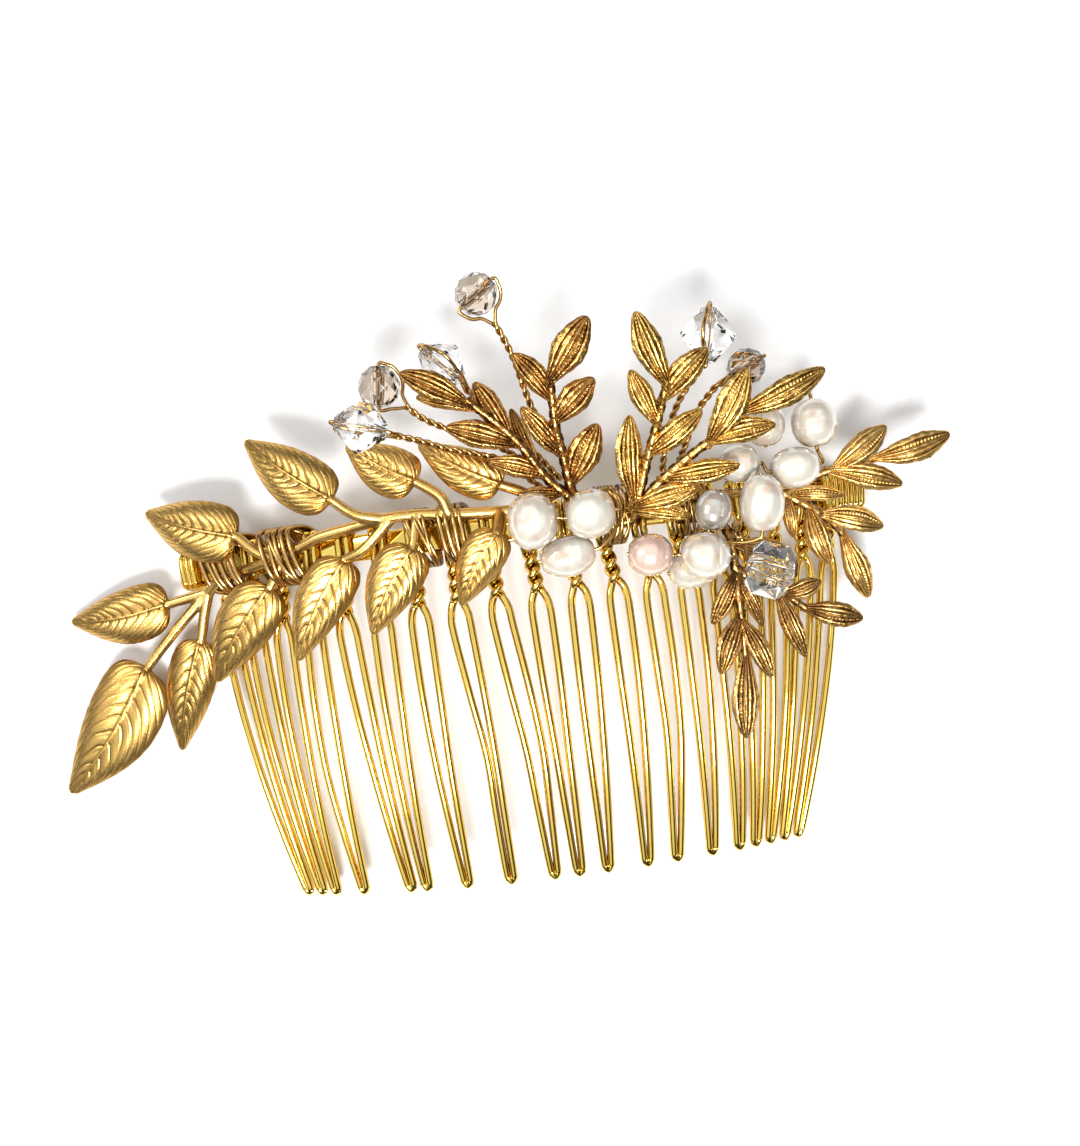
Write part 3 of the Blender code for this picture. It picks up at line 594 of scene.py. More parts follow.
def pearl_finish(name, body, tint, shade, lustre):
    """Nacre: a soft body colour with zones of overtone, painted shade darkening its rim, a half metallic
    lustre and a clear skin over it.
    """
    finish = Finish(name)
    zones = finish.noise(2.6, detail=1.5)
    cloud = finish.noise(0.9, detail=3.0)
    wide, small = finish.math("MULTIPLY", zones, 0.8), finish.math("MULTIPLY", cloud, 0.2)
    mixed = finish.math("ADD", wide, small, clamp=True)
    colour = finish.ramp(mixed, (0.34, shade), (0.5, body), (0.66, tint))
    # Painted shade: where the surface turns sideways it is mixed towards a darker copy of the shade colour
    rim_shade = finish.math("MULTIPLY", finish.attribute("painted_shade_and_tone"), 0.75)
    rim_shaded = finish.node("ShaderNodeMix", {0: rim_shade}, data_type="RGBA")
    finish.plug(rim_shaded.inputs[6], colour)
    rim_shaded.inputs[7].default_value = (*(0.55 * channel for channel in shade), 1.0)
    finish.set(
        Base_Color=rim_shaded.outputs[2],
        Roughness=finish.span(cloud, 0.16, 0.26),
        Normal=finish.bump(zones, 0.16, 0.6),
    )
    finish.set(
        Metallic=lustre,
        Subsurface_Weight=0.1,
        Subsurface_Radius=(0.9, 0.7, 0.6),
        Subsurface_Scale=0.4 * MM,
        IOR=1.6,
        Specular_IOR_Level=0.7,
        Coat_Weight=0.9,
        Coat_Roughness=0.08,
        Coat_IOR=1.6,
    )
    return finish.material


def crystal_finish(name, light, dark):
    """Cut glass, almost even in colour, with the faintest polishing haze."""
    finish = Finish(name)
    tint = finish.noise(4.0, detail=1.0)
    haze = finish.noise(0.7, detail=3.0)
    finish.set(
        Base_Color=finish.ramp(tint, (0.3, light), (0.7, dark)),
        Roughness=finish.span(haze, 0.0, 0.03),
        Transmission_Weight=1.0,
        IOR=1.55,
        Normal=finish.bump(haze, 0.002, 0.5),
    )
    return finish.material


def floor_finish():
    finish = Finish("pale_paper_floor")
    fibre = finish.noise(1.2, detail=4.0)
    finish.set(
        Base_Color=finish.ramp(fibre, (0.2, (0.87, 0.87, 0.87)), (0.8, (0.9, 0.9, 0.9))),
        Roughness=0.75,
        Normal=finish.bump(fibre, 0.01, 0.3),
    )
    return finish.material


# Each metal's colours: lit, in half painted shade, and in deep painted shade
COMB_GOLD = metal_finish(
    "polished_comb_gold", (1.0, 0.75, 0.18), (0.85, 0.49, 0.06), (0.16, 0.07, 0.008),
    roughness=(0.06, 0.14), grain=0.7, grain_depth=0.004, blotch=0.22,
)
LEAF_GOLD = metal_finish(
    "satin_leaf_gold", (0.78, 0.5, 0.155), (0.5, 0.28, 0.07), (0.09, 0.036, 0.008),
    roughness=(0.23, 0.4), grain=0.16, grain_depth=0.025, blotch=0.3,
)
SPRAY_GOLD = metal_finish(
    "antique_spray_gold", (0.92, 0.6, 0.18), (0.5, 0.26, 0.055), (0.034, 0.014, 0.004),
    roughness=(0.15, 0.4), grain=0.34, grain_depth=0.09, blotch=0.55,
)
SPRAY_BRONZE = metal_finish(
    "antique_spray_bronze", (0.78, 0.44, 0.13), (0.36, 0.16, 0.035), (0.026, 0.01, 0.004),
    roughness=(0.17, 0.4), grain=0.34, grain_depth=0.09, blotch=0.55,
)
SPRAY_SATIN = metal_finish(
    "satin_spray_gold", (0.9, 0.58, 0.2), (0.6, 0.34, 0.09), (0.12, 0.05, 0.012),
    roughness=(0.24, 0.45), grain=0.28, grain_depth=0.05, blotch=0.4,
)
COPPER_GOLD = metal_finish(
    "antique_copper_gold", (0.7, 0.43, 0.15), (0.34, 0.17, 0.045), (0.034, 0.015, 0.006),
    roughness=(0.19, 0.42), grain=0.34, grain_depth=0.09, blotch=0.55,
)
SPRAY_FINISHES = {
    "spray_upper_left": SPRAY_BRONZE,
    "spray_upper_middle": SPRAY_GOLD,
    "spray_right": SPRAY_SATIN,
    "spray_lower": COPPER_GOLD,
}
WIRE_BRASS = metal_finish(
    "binding_wire_brass", (0.64, 0.39, 0.13), (0.37, 0.2, 0.055), (0.055, 0.025, 0.008),
    roughness=(0.18, 0.36), grain=0.3, grain_depth=0.006, blotch=0.4,
)
PEARL_WHITE = pearl_finish("white_nacre", (0.76, 0.71, 0.61), (0.7, 0.7, 0.61), (0.62, 0.5, 0.4), 0.3)
PEARL_PINK = pearl_finish("pink_nacre", (0.74, 0.54, 0.44), (0.76, 0.63, 0.52), (0.62, 0.42, 0.37), 0.3)
PEARL_SILVER = pearl_finish(
    "silver_nacre", (0.58, 0.55, 0.49), (0.6, 0.59, 0.52), (0.42, 0.36, 0.32), 0.55,
)
CLEAR_CRYSTAL = crystal_finish("clear_crystal", (0.99, 0.99, 1.0), (0.95, 0.97, 0.98))
SMOKY_CRYSTAL = crystal_finish("smoky_crystal", (0.68, 0.59, 0.49), (0.55, 0.46, 0.37))


# ---------------------------------------------------------------- the wire comb


def build_bar():
    """The flat strip with rounded edges, bent to the arch, with a turn of wire round each end."""
    shape = Shape()
    half_width, half_thick, corner = BAR_WIDTH / 2, BAR_THICKNESS / 2, BAR_CORNER
    section = []
    for quarter, (y_side, z_side) in enumerate(((1, 1), (-1, 1), (-1, -1), (1, -1))):
        for step in range(6):
            turned = math.radians(90 * quarter + 18 * step)
            y = y_side * (half_width - corner) + corner * math.cos(turned)
            height = z_side * (half_thick - corner) + corner * math.sin(turned)
            section.append((y, height))
    section = np.array(section)
    places = np.linspace(-BAR_ARC / 2, BAR_ARC / 2, 200)
    ends = np.minimum(1, np.sqrt(np.clip((BAR_ARC / 2 - abs(places) + 0.05) / 0.5, 0, 1)))
    rings = []
    for place, end in zip(places, ends):
        along = np.full(len(section), place)
        rings.append(arch_points(along, section[:, 0] * (0.8 + 0.2 * end), section[:, 1] * end))
    shape.loft(rings)
    for side, turns in END_WRAPS:
        angles = np.linspace(0, 2 * math.pi * turns, int(28 * turns))
        reach_y, reach_z = half_width + TOOTH_WIRE * 0.95, half_thick + TOOTH_WIRE * 0.95
        squared = np.maximum(abs(np.cos(angles)), abs(np.sin(angles))) ** -0.7
        walked = angles / (2 * math.pi) * TOOTH_WIRE * WRAP_PITCH
        y, height = reach_y * np.cos(angles) * squared, reach_z * np.sin(angles) * squared
        route = arch_points(side * (BAR_ARC / 2 - WRAP_INSET - walked), y, height)
        shape.tube(route, TOOTH_WIRE, 10)
    return shape.piece("comb_bar", COMB_GOLD, ["top_bar"], "comb_gold", 0.7)


def strand_route(side, bow):
    """One strand of a tooth, from its tail behind the bar to its tip: shift along the bar, y, height."""
    points = [
        (side * STRAND, -0.9, -HOOK_LIFT),
        (side * STRAND, 1.5, -HOOK_LIFT),
        (side * STRAND, 2.2, -0.5),
        (side * STRAND, 2.2, 0.5),
        (side * STRAND, 1.5, HOOK_LIFT),
        (side * STRAND, 0.0, HOOK_LIFT),
        (side * STRAND, NECK_Y, HOOK_LIFT - 0.02),
    ]
    steps = 6 * NECK_HALF_TURNS
    for step in range(steps + 1):
        share = step / steps
        angle = math.pi * NECK_HALF_TURNS * share
        y = NECK_TOP + (APEX_Y + 0.5 - NECK_TOP) * share
        lift = 0.25 * (1 - share)
        points.append((side * TWIST * math.cos(angle), y, side * TWIST * math.sin(angle) + lift))
    arm = -side
    points += [
        (arm * 0.78, APEX_Y - 0.25, 0.0),
        (arm * 1.0, APEX_Y - 1.3, 0.0),
        (arm * ARM, APEX_Y - 3.0, 0.0),
        (arm * ARM * 0.97 + bow * 0.6, -18.0, 0.0),
        (arm * 0.85 + bow, -25.0, 0.0),
        (arm * 0.66 + bow * 0.5, -32.0, 0.0),
        (arm * 0.45, TIP_Y + 1.4, 0.0),
        (arm * 0.36, TIP_Y + 0.5, 0.0),
    ]
    return points


def build_tooth(number, chance):
    """One tooth: a wire hooked over the bar twice, twisted below it, and bent to a narrow U."""
    hook_at = TOOTH_OFFSET + (number - (TOOTH_COUNT - 1) / 2) * TOOTH_PITCH
    leaning = NECK_LEAN * math.sin(2 * math.pi * (number - STRAIGHT_NECK) / (TOOTH_COUNT - 1))
    small_bows = [chance.uniform(-TOOTH_BOW, TOOTH_BOW) for _ in range(2)]
    left_bow, right_bow = BENT_ARMS.get(number, small_bows)
    knots = [*strand_route(-1, right_bow), (0.0, TIP_Y, 0.0), *reversed(strand_route(1, left_bow))]
    route = smooth_route(knots, 0.25)
    shift, y, height = route.T
    down_neck = np.clip((NECK_Y - y) / (NECK_Y - APEX_Y), 0, 1)
    down_tooth = np.clip((APEX_Y - y) / (APEX_Y - TIP_Y), 0, None)
    to_tip = TIP_PLACES[number] - hook_at - leaning
    along = shift + hook_at + leaning * down_neck + to_tip * down_tooth
    shape = Shape()
    shape.tube(arch_points(along, y, height - TOOTH_DROP * down_tooth**2), TOOTH_WIRE, 12)
    name = f"tooth_{number + 1:02d}"
    return shape.piece(f"comb_{name}", COMB_GOLD, [name], "comb_gold", 0.9)


# ---------------------------------------------------------------- leaves


def leaf_frame(base, tip):
    base, tip = np.array(base, float), np.array(tip, float)
    along = tip - base
    side = unit(np.cross(UP, along))
    return base, along, side, np.cross(unit(along), side)


def skin_leaf(shape, base, tip, sideways, lift, underside, marks):
    """A closed leaf from its surface's sideways places and heights, and its underside's heights."""
    start, along, side, up = leaf_frame(base, tip)
    count, across = sideways.shape
    shares = np.linspace(0, 1, count)[:, None, None]
    spine = start + along * shares
    top = spine + side * sideways[..., None] + up * lift[..., None]
    below = (spine + side * sideways[..., None] + up * underside[..., None])[:, ::-1][:, 1:-1]
    # The underside takes an even painted shade
    underside_shade = np.full((count, across - 2), 0.35)
    shape.loft(np.concatenate((top, below), axis=1), np.concatenate((marks, underside_shade), axis=1))


def vein_leaf(base, tip, width, bend, chance):
    """A domed leaf with a raised midrib, curved side veins and quilted fields between them."""
    shape = Shape()
    veins = chance.choice(LEAF_VEINS)
    shares = np.linspace(0, 1, 170)[:, None]
    across = np.linspace(-1, 1, 81)[None, :]
    across = np.sign(across) * abs(across) ** 0.92
    away = abs(across)
    half = 0.5 * width * outline_at(LEAF_OUTLINE, shares[:, 0])[:, None]
    fullness = half / (0.5 * width)
    wander = 0.16 * np.sin(2 * math.pi * (1.7 * shares + chance.random()) + 2.5 * across)
    wander += 0.07 * np.sin(2 * math.pi * (4.3 * shares + chance.random()) - 4 * across)
    phase = veins * (shares * 1.25 - 0.22 * away - 0.3 * away**2.4)
    phase = phase + np.where(across > 0, 0.4, 0.0) + wander
    to_vein = abs(phase - np.round(phase))
    to_half_vein = 0.5 - to_vein
    inside = (1 - away**6) * np.minimum(1, away * half / 0.4) * np.minimum(1, (1 - shares) * 6)
    patches = 0.5 + 0.5 * np.sin(7 * shares + 9 * chance.random() + across)
    outer = np.clip((away - 0.4) / 0.4, 0, 1) * patches
    quilt = QUILT * np.sqrt(np.clip(2 * to_vein, 0, 1))
    crease = -VEIN_CREASE * bell(to_vein, 0.055) - HALF_VEIN_CREASE * bell(to_half_vein, 0.04) * outer
    ridge = VEIN_RIDGE * bell((phase - np.round(phase)) - 0.12, 0.055)
    from_rib = away * half
    thinning = 1 - 0.7 * shares
    midrib = MIDRIB * thinning * bell(from_rib, 0.2 * thinning + 0.04)
    valley = -LEAF_VALLEY * fullness * np.minimum(1, shares * 6) * bell(across, 0.3)
    dome = LEAF_DOME * fullness * (1 - away**2.8)
    buckle = LEAF_BUCKLE * np.sin(2 * math.pi * (1.3 * shares + chance.random())) * across * fullness
    scallop = 1 + 0.005 * np.sin(2 * math.pi * phase) * away**3
    sideways = half * across * scallop + bend * np.sin(math.pi * shares)
    end_roll = 0.25 * np.sin(math.pi * shares) - 0.15 * shares**3
    lift = dome + (quilt + crease + ridge) * inside + midrib + valley + buckle + end_roll
    underside = dome * 0.78 + end_roll - LEAF_THICKNESS * (1 - 0.3 * across**2)
    # Painted shade in the vein creases, beside the midrib, on the rolled-down edges and at the base
    groove_shade = (0.6 * bell(to_vein, 0.05) + 0.35 * bell(to_half_vein, 0.04) * outer) * inside
    rib_side_shade = 0.35 * bell(from_rib - 0.3 * thinning - 0.05, 0.1)
    marks = np.clip(groove_shade + rib_side_shade + 0.5 * away**9 + 0.25 * (1 - shares) ** 7, 0, 1)
    skin_leaf(shape, base, tip, sideways, lift, underside, marks)
    return shape


def build_branch(chance):
    """The stamping: smoothly forked stems as one piece, and a piece for each leaf."""
    shape = Shape()
    main = smooth_route(BRANCH_MAIN, 0.4)
    shape.tube(main, BRANCH_STEM * np.linspace(1.0, 1.05, len(main)), 14)
    for stem, base, tip, width, bend in BRANCH_LEAVES:
        start, along, side, up = leaf_frame(base, tip)
        onto = [start + along * share + up * lift + side * bend * math.sin(math.pi * share)
                for share, lift in ((0.04, 0.3), (0.12, 0.72))]
        route = smooth_route([*stem, base, *onto], 0.3)
        shares = np.linspace(0, 1, len(route))
        narrowing = 0.12 * shares + 0.5 * np.clip(shares - 0.8, 0, 1) / 0.2
        shape.tube(route, BRANCH_STEM * (1.0 - narrowing), 14)
    stems = shape.piece("leaf_branch_stems", LEAF_GOLD, ["leaf_branch"], "leaf_gold", 0.0)
    weld = stems.modifiers.new("weld", "REMESH")
    weld.mode = "VOXEL"
    weld.voxel_size = 0.11 * MM
    weld.use_smooth_shade = True
    soften = stems.modifiers.new("soften", "SMOOTH")
    soften.factor = 0.5
    soften.iterations = 4
    bpy.context.view_layer.update()
    forked = bpy.data.meshes.new_from_object(stems.evaluated_get(bpy.context.evaluated_depsgraph_get()))
    stems.modifiers.clear()
    stems.data = forked
    if "painted_shade_and_tone" not in forked.attributes:
        forked.attributes.new("painted_shade_and_tone", "FLOAT", "POINT")
    forked.attributes["painted_shade_and_tone"].data.foreach_set("value", np.zeros(len(forked.vertices), np.float32))
    shade_sides(forked, 0.75)
    for number, (stem, base, tip, width, bend) in enumerate(BRANCH_LEAVES):
        leaf = vein_leaf(base, tip, width, bend, chance)
        leaf.piece(f"branch_leaf_{number + 1:02d}", LEAF_GOLD, ["leaf_branch"], "leaf_gold", 0.6)


def add_leaflet(shape, base, tip, width, chance):
    """A cast leaflet with a broad raised margin, a beaded rib, a plain one and a middle one."""
    base, tip = np.array(base, float), np.array(tip, float)
    base = base - LEAFLET_FOOT * (tip - base)
    length = math.dist(base, tip)
    shares = np.linspace(0, 1, 110)[:, None]
    across = np.linspace(-1, 1, 47)[None, :]
    half = 0.5 * width * outline_at(LEAFLET_OUTLINE, shares[:, 0])[:, None]
    fullness = half / (0.5 * width)
    lean = chance.uniform(-0.12, 0.12)
    bend = chance.uniform(-0.05, 0.05) * length
    away = abs(across)
    taper = np.minimum(1, fullness * 1.6) * np.minimum(1, width / 2.6)
    beads_per_mm = chance.uniform(*BEADS_PER_MM)
    beaded_side = chance.choice((-1, 1))
    wave = chance.random()
    walked = length * shares
    uneven = 0.3 * np.sin(2 * math.pi * (0.31 * walked + wave))
    uneven = uneven + 0.2 * np.sin(2 * math.pi * 0.9 * walked + 3 * across)
    rise = np.clip((away - 0.5 - 0.06 * uneven) / 0.18, 0, 1)
    margin = MARGIN * rise**2 * (3 - 2 * rise) * (1 + 0.5 * uneven)
    beads = 0.6 + 0.4 * np.sin(2 * math.pi * beads_per_mm * walked - 2.5 * away + uneven)
    on_beaded = bell(across * beaded_side - 0.35, 0.1)
    on_plain = bell(across * beaded_side + 0.34, 0.08)
    ribs = BEADED_RIB * on_beaded * beads + PLAIN_RIB * on_plain * (1 + uneven)
    middle = MIDDLE_RIB * bell(away, 0.09) * (1 - 0.6 * uneven) * np.clip((1 - shares) * 3, 0, 1)
    edge = 0.03 * np.sin(2 * math.pi * (0.27 * walked + wave))
    edge = edge + 0.018 * np.sin(2 * math.pi * 0.8 * walked)
    dome = LEAFLET_DOME * fullness * (1 - away**2.8)
    side_lean = 1.6 * lean * half * across
    relief = (margin + ribs + middle) * taper
    curl = 0.3 * np.sin(math.pi * shares) * length / 7 - 0.15 * shares**3
    lift = dome + relief + side_lean + curl
    underside = dome * 0.6 + side_lean + curl - 0.3
    sideways = half * across * (1 + edge * away**6) + bend * np.sin(math.pi * shares)
    # Painted shade in the grooves, between the rib's beads and at the foot by the stem; the uneven and random
    # parts are a patchy tone
    groove_shade = bell(away - 0.53, 0.07) + 0.7 * bell(away - 0.18, 0.07) + 0.5 * on_beaded * (1 - beads)
    foot_shade = 0.5 * (1 - shares) ** 5
    marks = np.clip(groove_shade + foot_shade + 0.35 * uneven + chance.uniform(-0.1, 0.1), 0, 1)
    skin_leaf(shape, base, tip, sideways, lift, underside, marks)


def add_spray_stem(shape, route, chance):
    """A cast stem: low and rugged, with a groove each side of its middle line."""
    ahead = travel(route)[0]
    angles = np.linspace(0, 2 * math.pi, 36, endpoint=False)
    flat = unit_rows(np.cross(UP, ahead))
    up = np.cross(ahead, flat)
    count = len(route)
    shares = np.linspace(0, 1, count)
    wave = chance.random()
    rugged = 0.1 * np.sin(0.9 * np.arange(count) + 6 * wave) + 0.06 * np.sin(2.3 * np.arange(count))
    to_top = angles - math.pi / 2
    ridges = 0.5 + 0.5 * np.cos(3 * to_top)
    ridged = 1 - 0.2 * (1 - ridges)
    size = SPRAY_STEM * ((1.15 - 0.35 * shares) * (1 + rugged))[:, None, None]
    outward = flat[:, None] * (1.25 * ridged * np.cos(angles))[:, None]
    upward = up[:, None] * (0.85 * ridged * np.sin(angles))[:, None]
    # Painted shade in the grooves between the ridges, and darker where the stem swells
    marks = np.clip(0.85 * (1 - ridges)[None, :] + 1.5 * rugged[:, None], 0, 1)
    shape.loft(route[:, None] + size * (outward + upward), marks)


def unit_rows(rows):
    return rows / np.linalg.norm(rows, axis=1, keepdims=True)


def build_sprays(chance):
    for name, (stems, leaflets) in SPRAYS.items():
        shape = Shape()
        for stem in stems:
            add_spray_stem(shape, smooth_route(stem, 0.2), chance)
        for base, tip, width in leaflets:
            add_leaflet(shape, base, tip, width, chance)
        shape.piece(f"{name}_stamping", SPRAY_FINISHES[name], [name], "spray_gold", 0.8)


# ---------------------------------------------------------------- pearls


def bead_measures(node, axis):
    """A packed bead's centre, length along its hole and width across it, in the comb's millimetres."""
    places = np.array([vertex.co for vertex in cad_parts[node].data.vertices]) / MM - ORIGIN
    centre = (places.max(axis=0) + places.min(axis=0)) / 2
    along = (places - centre) @ unit(axis)
    across = np.linalg.norm(places - centre - along[:, None] * unit(axis), axis=1)
    return centre, along.max() - along.min(), 2 * across.max()


def bead_axes(axis):
    axis = unit(axis)
    across = unit(np.cross(axis, UP))
    return axis, across, np.cross(axis, across)


def build_pearl(name, axis, uneven, chance):
    """An oval pearl with gentle unevenness, its hole, and on one pearl a grown ring."""
    centre, length, width = bead_measures(name, axis)
    axis, across, other = bead_axes(axis)
    mouth = math.asin(PEARL_BORE / (0.5 * width)) * 1.1
    polar = np.linspace(mouth, math.pi - mouth, 72)
    around = np.linspace(0, 2 * math.pi, 80, endpoint=False)
    polar_grid, around_grid = np.meshgrid(polar, around, indexing="ij")
    swell = np.zeros_like(polar_grid)
    for _ in range(5):
        waves, turns = chance.choice((1, 2, 3)), chance.choice((1, 2, 3))
        phase = chance.uniform(0, 2 * math.pi)
        bulge = np.sin(waves * polar_grid + phase) * np.cos(turns * around_grid + phase * 2)
        swell += chance.uniform(-1, 1) * bulge
    swell *= uneven * np.sin(polar_grid) / 1.6
    growth = 0.006 * np.sin(chance.uniform(14, 22) * np.cos(polar_grid) + 0.8 * np.sin(around_grid))
    dimple = -0.12 * bell(polar_grid - mouth, 0.14) - 0.12 * bell(polar_grid - math.pi + mouth, 0.14)
    reach = 1.0 + swell + growth * np.sin(polar_grid)
    if name == RINGED_PEARL:
        along_share = np.cos(polar_grid)
        reach -= 0.06 * bell(along_share - 0.42, 0.06) + 0.035 * (along_share > 0.42)
    radius = 0.5 * width * np.sin(polar_grid) * reach
    radius[[0, -1]] = PEARL_BORE
    flattened = np.sign(np.cos(polar_grid)) * abs(np.cos(polar_grid)) ** 0.93
    height = 0.5 * length * flattened * (1 + swell * 0.5) + dimple * np.cos(polar_grid)
    bore = np.linspace(height[-1].mean(), height[0].mean(), 8)[1:-1]
    radius = np.vstack((radius, np.full((6, 80), PEARL_BORE)))
    height = np.vstack((height, np.repeat(bore[:, None], 80, axis=1)))
    around_all = np.broadcast_to(around, radius.shape)
    rings = (
        centre
        + axis * height[..., None]
        + across * (radius * np.cos(around_all))[..., None]
        + other * (radius * np.sin(around_all))[..., None]
    )
    shape = Shape()
    shape.loft(rings[::-1], closed_along=True)
    finish = {"pearl_middle_a": PEARL_PINK, "pearl_right_a": PEARL_SILVER}.get(name, PEARL_WHITE)
    slot = "pearl_pink" if name == "pearl_middle_a" else "pearl_white"
    # The pearl's sideways rim is marked in full for painted shade
    shape.piece(f"{name}_nacre", finish, [name], slot, 1.0)
    return centre, unit(axis), length


def tie_link(start, leaving, end, arriving):
    """Points of a curve that leaves one pearl along its hole and reaches the next along that one's hole."""
    handle = min(TIE_HANDLE, 0.4 * math.dist(start, end))
    share = np.linspace(0, 1, 7)[1:-1, None]
    back = 1 - share
    leaves, arrives = start + leaving * handle, end - arriving * handle
    between = 3 * back * share * (back * leaves + share * arrives)
    return back**3 * start + between + share**3 * end


def build_ties(placed):
    """A wire through the holes of each group of pearls, curving clear of them from one to the next."""
    for name, visits in TIES.items():
        points = []
        for pearl, way in visits:
            centre, axis, length = placed[pearl]
            axis = axis * way
            entry, exit_ = centre - axis * 0.5 * length, centre + axis * 0.5 * length
            if points:
                points.extend(tie_link(points[-1], last_axis, entry, axis))
            points.extend((entry, centre, exit_))
            last_axis = axis
        shape = Shape()
        shape.tube(smooth_route(points, 0.15), TIE_WIRE, 10)
        shape.piece(f"{name}_wire", WIRE_BRASS, [name], "wire_brass", 0.8)


# ---------------------------------------------------------------- crystals


def crystal_corners(cut, length, width):
    """How many sides a cut has, and its rings of corners above the waist: height, radius, first angle."""
    half, wide = 0.5 * length, 0.5 * width
    if cut == "bicone":
        return 6, ((half, 0.3 * wide, 0.0), (half * 0.5, 0.72 * wide, 0.5), (0.06 * half, wide, 0.0))
    if cut == "round":
        return 8, ((half, 0.48 * wide, 0.0), (half * 0.62, 0.84 * wide, 0.5), (half * 0.2, wide, 0.0))
    return 4, ((half, 0.72 * wide, 0.0), (half * 0.6, wide, 0.0))


def build_crystal(name, cut, axis):
    """A faceted bead: the hull of its corners, with its hole cut through."""
    centre, length, width = bead_measures(name, axis)
    axis, across, other = bead_axes(axis)
    sides, rings = crystal_corners(cut, length, width)
    corners = []
    for way in (1, -1):
        for height, radius, first in rings:
            turned = first if cut != "round" or way == 1 else first + 0.5
            for step in range(sides):
                angle = 2 * math.pi * (step + turned) / sides
                outward = across * math.cos(angle) + other * math.sin(angle)
                corners.append(axis * height * way + outward * radius)
    if cut == "cube":
        for step in range(sides):
            angle = 2 * math.pi * (step + 0.5) / sides
            corners.append((across * math.cos(angle) + other * math.sin(angle)) * 0.5 * width * 0.74)
    hull = bmesh.new()
    for corner in corners:
        hull.verts.new((corner + centre + ORIGIN) * MM)
    bmesh.ops.convex_hull(hull, input=hull.verts)
    bmesh.ops.dissolve_limit(hull, angle_limit=math.radians(1), verts=hull.verts, edges=hull.edges)
    mesh = bpy.data.meshes.new(name)
    hull.to_mesh(mesh)
    hull.free()
    bead = bpy.data.objects.new(f"{name}_glass", mesh)
    bpy.context.scene.collection.objects.link(bead)
    drill = Shape()
    ends = np.linspace(-length, length, 3)[:, None] * axis + centre
    drill.tube(ends, CRYSTAL_BORE, 20)
    cutter = bpy.data.objects.new("drill", bpy.data.meshes.new("drill"))
    points = (np.vstack(drill.points) + ORIGIN) * MM
    cutter.data.from_pydata(points.tolist(), [], drill.faces)
    weld(cutter.data)
    bpy.context.scene.collection.objects.link(cutter)
    hole = bead.modifiers.new("hole", "BOOLEAN")
    hole.object = cutter
    hole.solver = "EXACT"
    bpy.context.view_layer.update()
    drilled = bpy.data.meshes.new_from_object(bead.evaluated_get(bpy.context.evaluated_depsgraph_get()))
    bead.modifiers.clear()
    bead.data = drilled
    bpy.data.objects.remove(cutter, do_unlink=True)
    drilled.materials.clear()
    drilled.materials.append(SMOKY_CRYSTAL if cut == "round" else CLEAR_CRYSTAL)
    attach(bead, name)
    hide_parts(name)
    return centre, length, width


def weld(mesh):
    work = bmesh.new()
    work.from_mesh(mesh)
    bmesh.ops.remove_doubles(work, verts=work.verts, dist=0.001 * MM)
    bmesh.ops.recalc_face_normals(work, faces=work.faces)
    work.to_mesh(mesh)
    work.free()


def loop_reach(cut, length, width, directions, axis):
    """How far from a bead's middle its wire runs in each direction, so that the bead can turn inside it."""
    rings = crystal_corners(cut, length, width)[1]
    corners = [(0.0, 0.5 * length), *((ring[1], ring[0]) for ring in rings), (0.5 * width, 0.0)]
    polar = [math.atan2(radius, height) for radius, height in corners]
    reach = [math.hypot(radius, height) for radius, height in corners]
    from_axis = np.arccos(np.clip(abs(directions @ axis), 0, 1))
    return np.interp(from_axis, polar, reach) + LOOP_CLEARANCE


def arc_directions(start, end, side):
    """Directions from one to another, leaving on the given side if they are nearly opposite."""
    start, end = unit(start), unit(end)
    angle = math.acos(np.clip(start.dot(end), -1, 1))
    towards = side if angle > HALF_WAY_ROUND else end
    across = unit(towards - start * towards.dot(start))
    turned = np.linspace(0, angle, max(3, int(math.degrees(angle) / 15)))[:, None]
    return start * np.cos(turned) + across * np.sin(turned)


def build_crystal_wire(name, cut, centre, axis, length, width, side, stem):
    """One wire: twisted with itself up the stem, through the crystal and round its outside."""
    axis, side = unit(axis), np.array(side, float)
    to_stem = unit(np.array(stem[0]) - centre)
    if axis.dot(to_stem) < 0:
        axis = -axis
    twist_from = loop_reach(cut, length, width, to_stem[None], axis)[0] + LOOP_SHOULDER
    stem = smooth_route([centre + to_stem * twist_from, *stem], 0.12)
    loops = []
    for start, end in ((to_stem, axis), (-axis, to_stem)):
        directions = arc_directions(start, end, side)
        loops.append(centre + directions * loop_reach(cut, length, width, directions, axis)[:, None])
    near, far = loops
    across, other = travel(stem)[1:]
    walked = np.concatenate(((0,), np.cumsum(np.linalg.norm(np.diff(stem, axis=0), axis=1))))
    angle = 2 * math.pi * walked / STEM_PITCH
    apart = (across * np.cos(angle)[:, None] + other * np.sin(angle)[:, None]) * CRYSTAL_WIRE * 0.98
    if apart[0].dot(np.cross(to_stem, side)) < 0:
        apart = -apart
    loop = np.vstack(((stem + apart)[:1], near[1:], centre[None], far[:-1], (stem - apart)[:1]))
    route = np.vstack(((stem + apart)[::-1], smooth_route(loop, 0.1)[1:-1], stem - apart))
    shape = Shape()
    shape.tube(route, CRYSTAL_WIRE, 10)
    node = name.replace("crystal", "stem_wire")
    shape.piece(f"{node}_twisted", WIRE_BRASS, [node], "wire_brass", 0.8)


# ---------------------------------------------------------------- binding wires


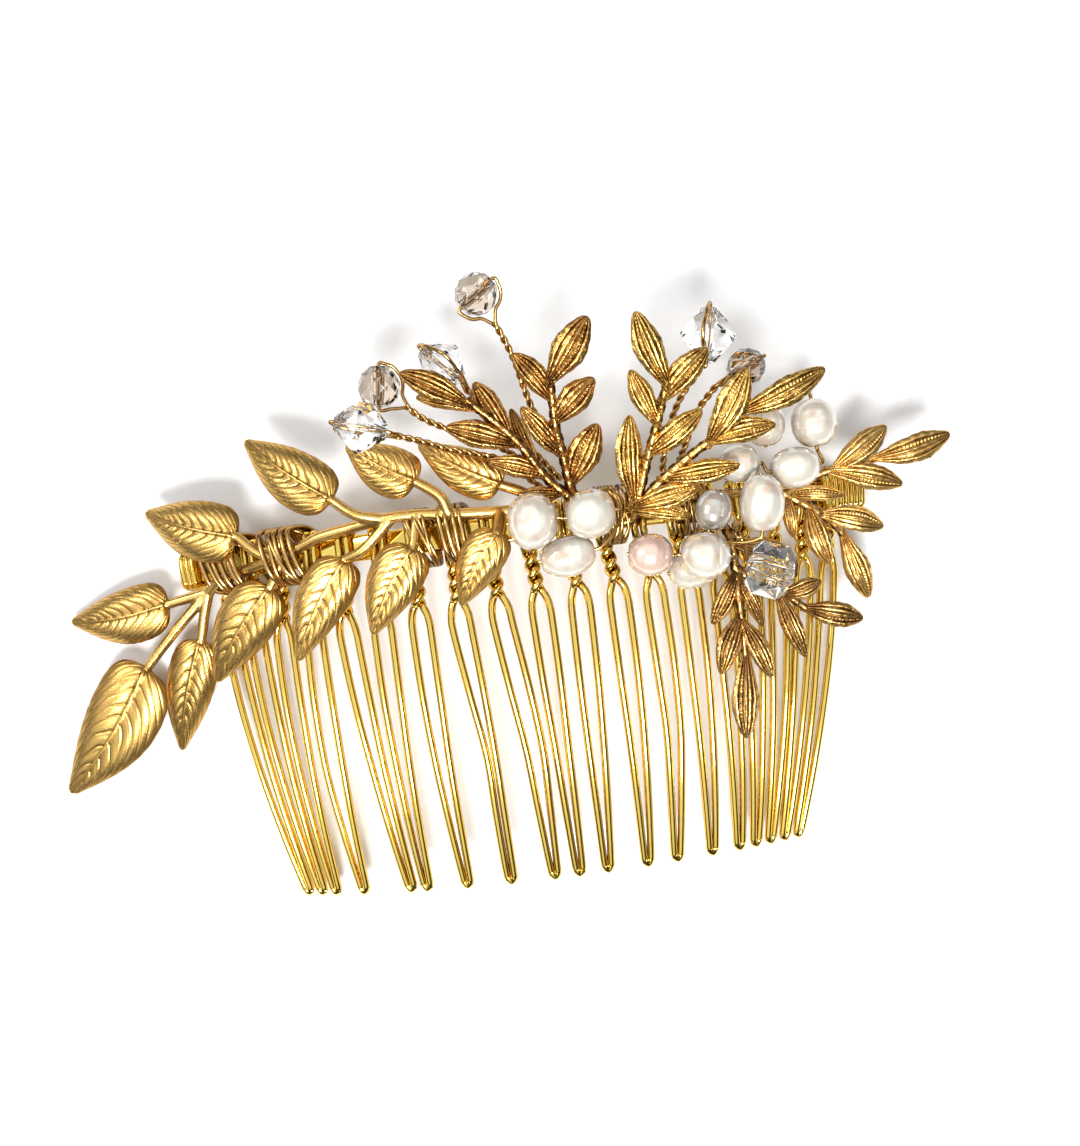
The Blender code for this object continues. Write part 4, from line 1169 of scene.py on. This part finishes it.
def build_bindings(chance):
    """Wires wound round the bar and all that lies on it, passing between the teeth's necks behind."""
    for name, wires in BINDINGS.items():
        shape = Shape()
        for radius, bulge, turns in wires:
            knots = []
            for between, at_back, at_front in turns:
                sway = chance.uniform(-TURN_SWAY, TURN_SWAY)
                for y, height, share in TURN:
                    crossing = np.interp(y, (-TURN_REACH, TURN_REACH), (at_front, at_back)) + sway
                    crossing += bulge * (1 - (y / TURN_REACH) ** 2) + chance.uniform(-0.08, 0.08)
                    along = between + (crossing - between) * share
                    knots.append(arch_points(along, y, height + chance.uniform(-TURN_LIFT, TURN_LIFT)))
            shape.tube(smooth_route(knots, 0.2), radius, 12)
        shape.piece(f"{name}_coil", WIRE_BRASS, [name], "wire_brass", 0.9)


# ---------------------------------------------------------------- studio


def build_studio():
    bpy.ops.mesh.primitive_plane_add(size=FLOOR_SIZE, location=(0, 0, -FLOOR_DROP))
    floor = bpy.context.object
    floor.name = "studio_floor"
    floor.data.materials.append(floor_finish())

    camera = bpy.data.objects.new("camera", bpy.data.cameras.new("camera"))
    bpy.context.scene.collection.objects.link(camera)
    camera.data.lens = LENS
    camera.data.sensor_width = SENSOR
    camera.data.clip_start = 0.01
    place = ORIGIN + np.array((*CAMERA_OVER, CAMERA_HEIGHT))
    camera.location = place * MM
    camera.rotation_euler = (0, 0, CAMERA_TURN)
    bpy.context.scene.camera = camera

    world = bpy.data.worlds.new("studio")
    bpy.context.scene.world = world
    world.use_nodes = True
    tree = world.node_tree
    direction = tree.nodes.new("ShaderNodeTexCoord").outputs["Generated"]
    towards = tree.nodes.new("ShaderNodeVectorMath")
    towards.operation = "DOT_PRODUCT"
    tree.links.new(direction, towards.inputs[0])
    towards.inputs[1].default_value = unit(SKY_TOP)
    ramp = tree.nodes.new("ShaderNodeValToRGB")
    tree.links.new(towards.outputs["Value"], ramp.inputs["Fac"])
    while len(ramp.color_ramp.elements) < len(SKY_STOPS):
        ramp.color_ramp.elements.new(0.5)
    for element, (place, level) in zip(ramp.color_ramp.elements, SKY_STOPS):
        element.position = place
        element.color = (level, level, level, 1.0)
    tree.links.new(ramp.outputs["Color"], tree.nodes["Background"].inputs["Color"])
    tree.nodes["Background"].inputs["Strength"].default_value = SKY_STRENGTH

    for name, (place, size, power) in SOFTBOXES.items():
        light = bpy.data.objects.new(name, bpy.data.lights.new(name, "AREA"))
        bpy.context.scene.collection.objects.link(light)
        light.data.size = size
        light.data.energy = power
        light.location = place
        light.rotation_euler = (-Vector(place)).to_track_quat("-Z", "Y").to_euler()
    bpy.context.scene.view_settings.view_transform = "Standard"


build_studio()
build_bar()
teeth_chance = random.Random(4)
for tooth in range(TOOTH_COUNT):
    build_tooth(tooth, teeth_chance)
build_branch(random.Random(5))
build_sprays(random.Random(6))
placed_pearls = {}
for number, (pearl, (hole_axis, unevenness)) in enumerate(PEARLS.items()):
    placed_pearls[pearl] = build_pearl(pearl, hole_axis, unevenness, random.Random(20 + number))
build_ties(placed_pearls)
for crystal, (cut, hole_axis, loop_side, stem_route) in CRYSTALS.items():
    measured = build_crystal(crystal, cut, hole_axis)
    build_crystal_wire(crystal, cut, measured[0], hole_axis, *measured[1:], loop_side, stem_route)
build_bindings(random.Random(7))
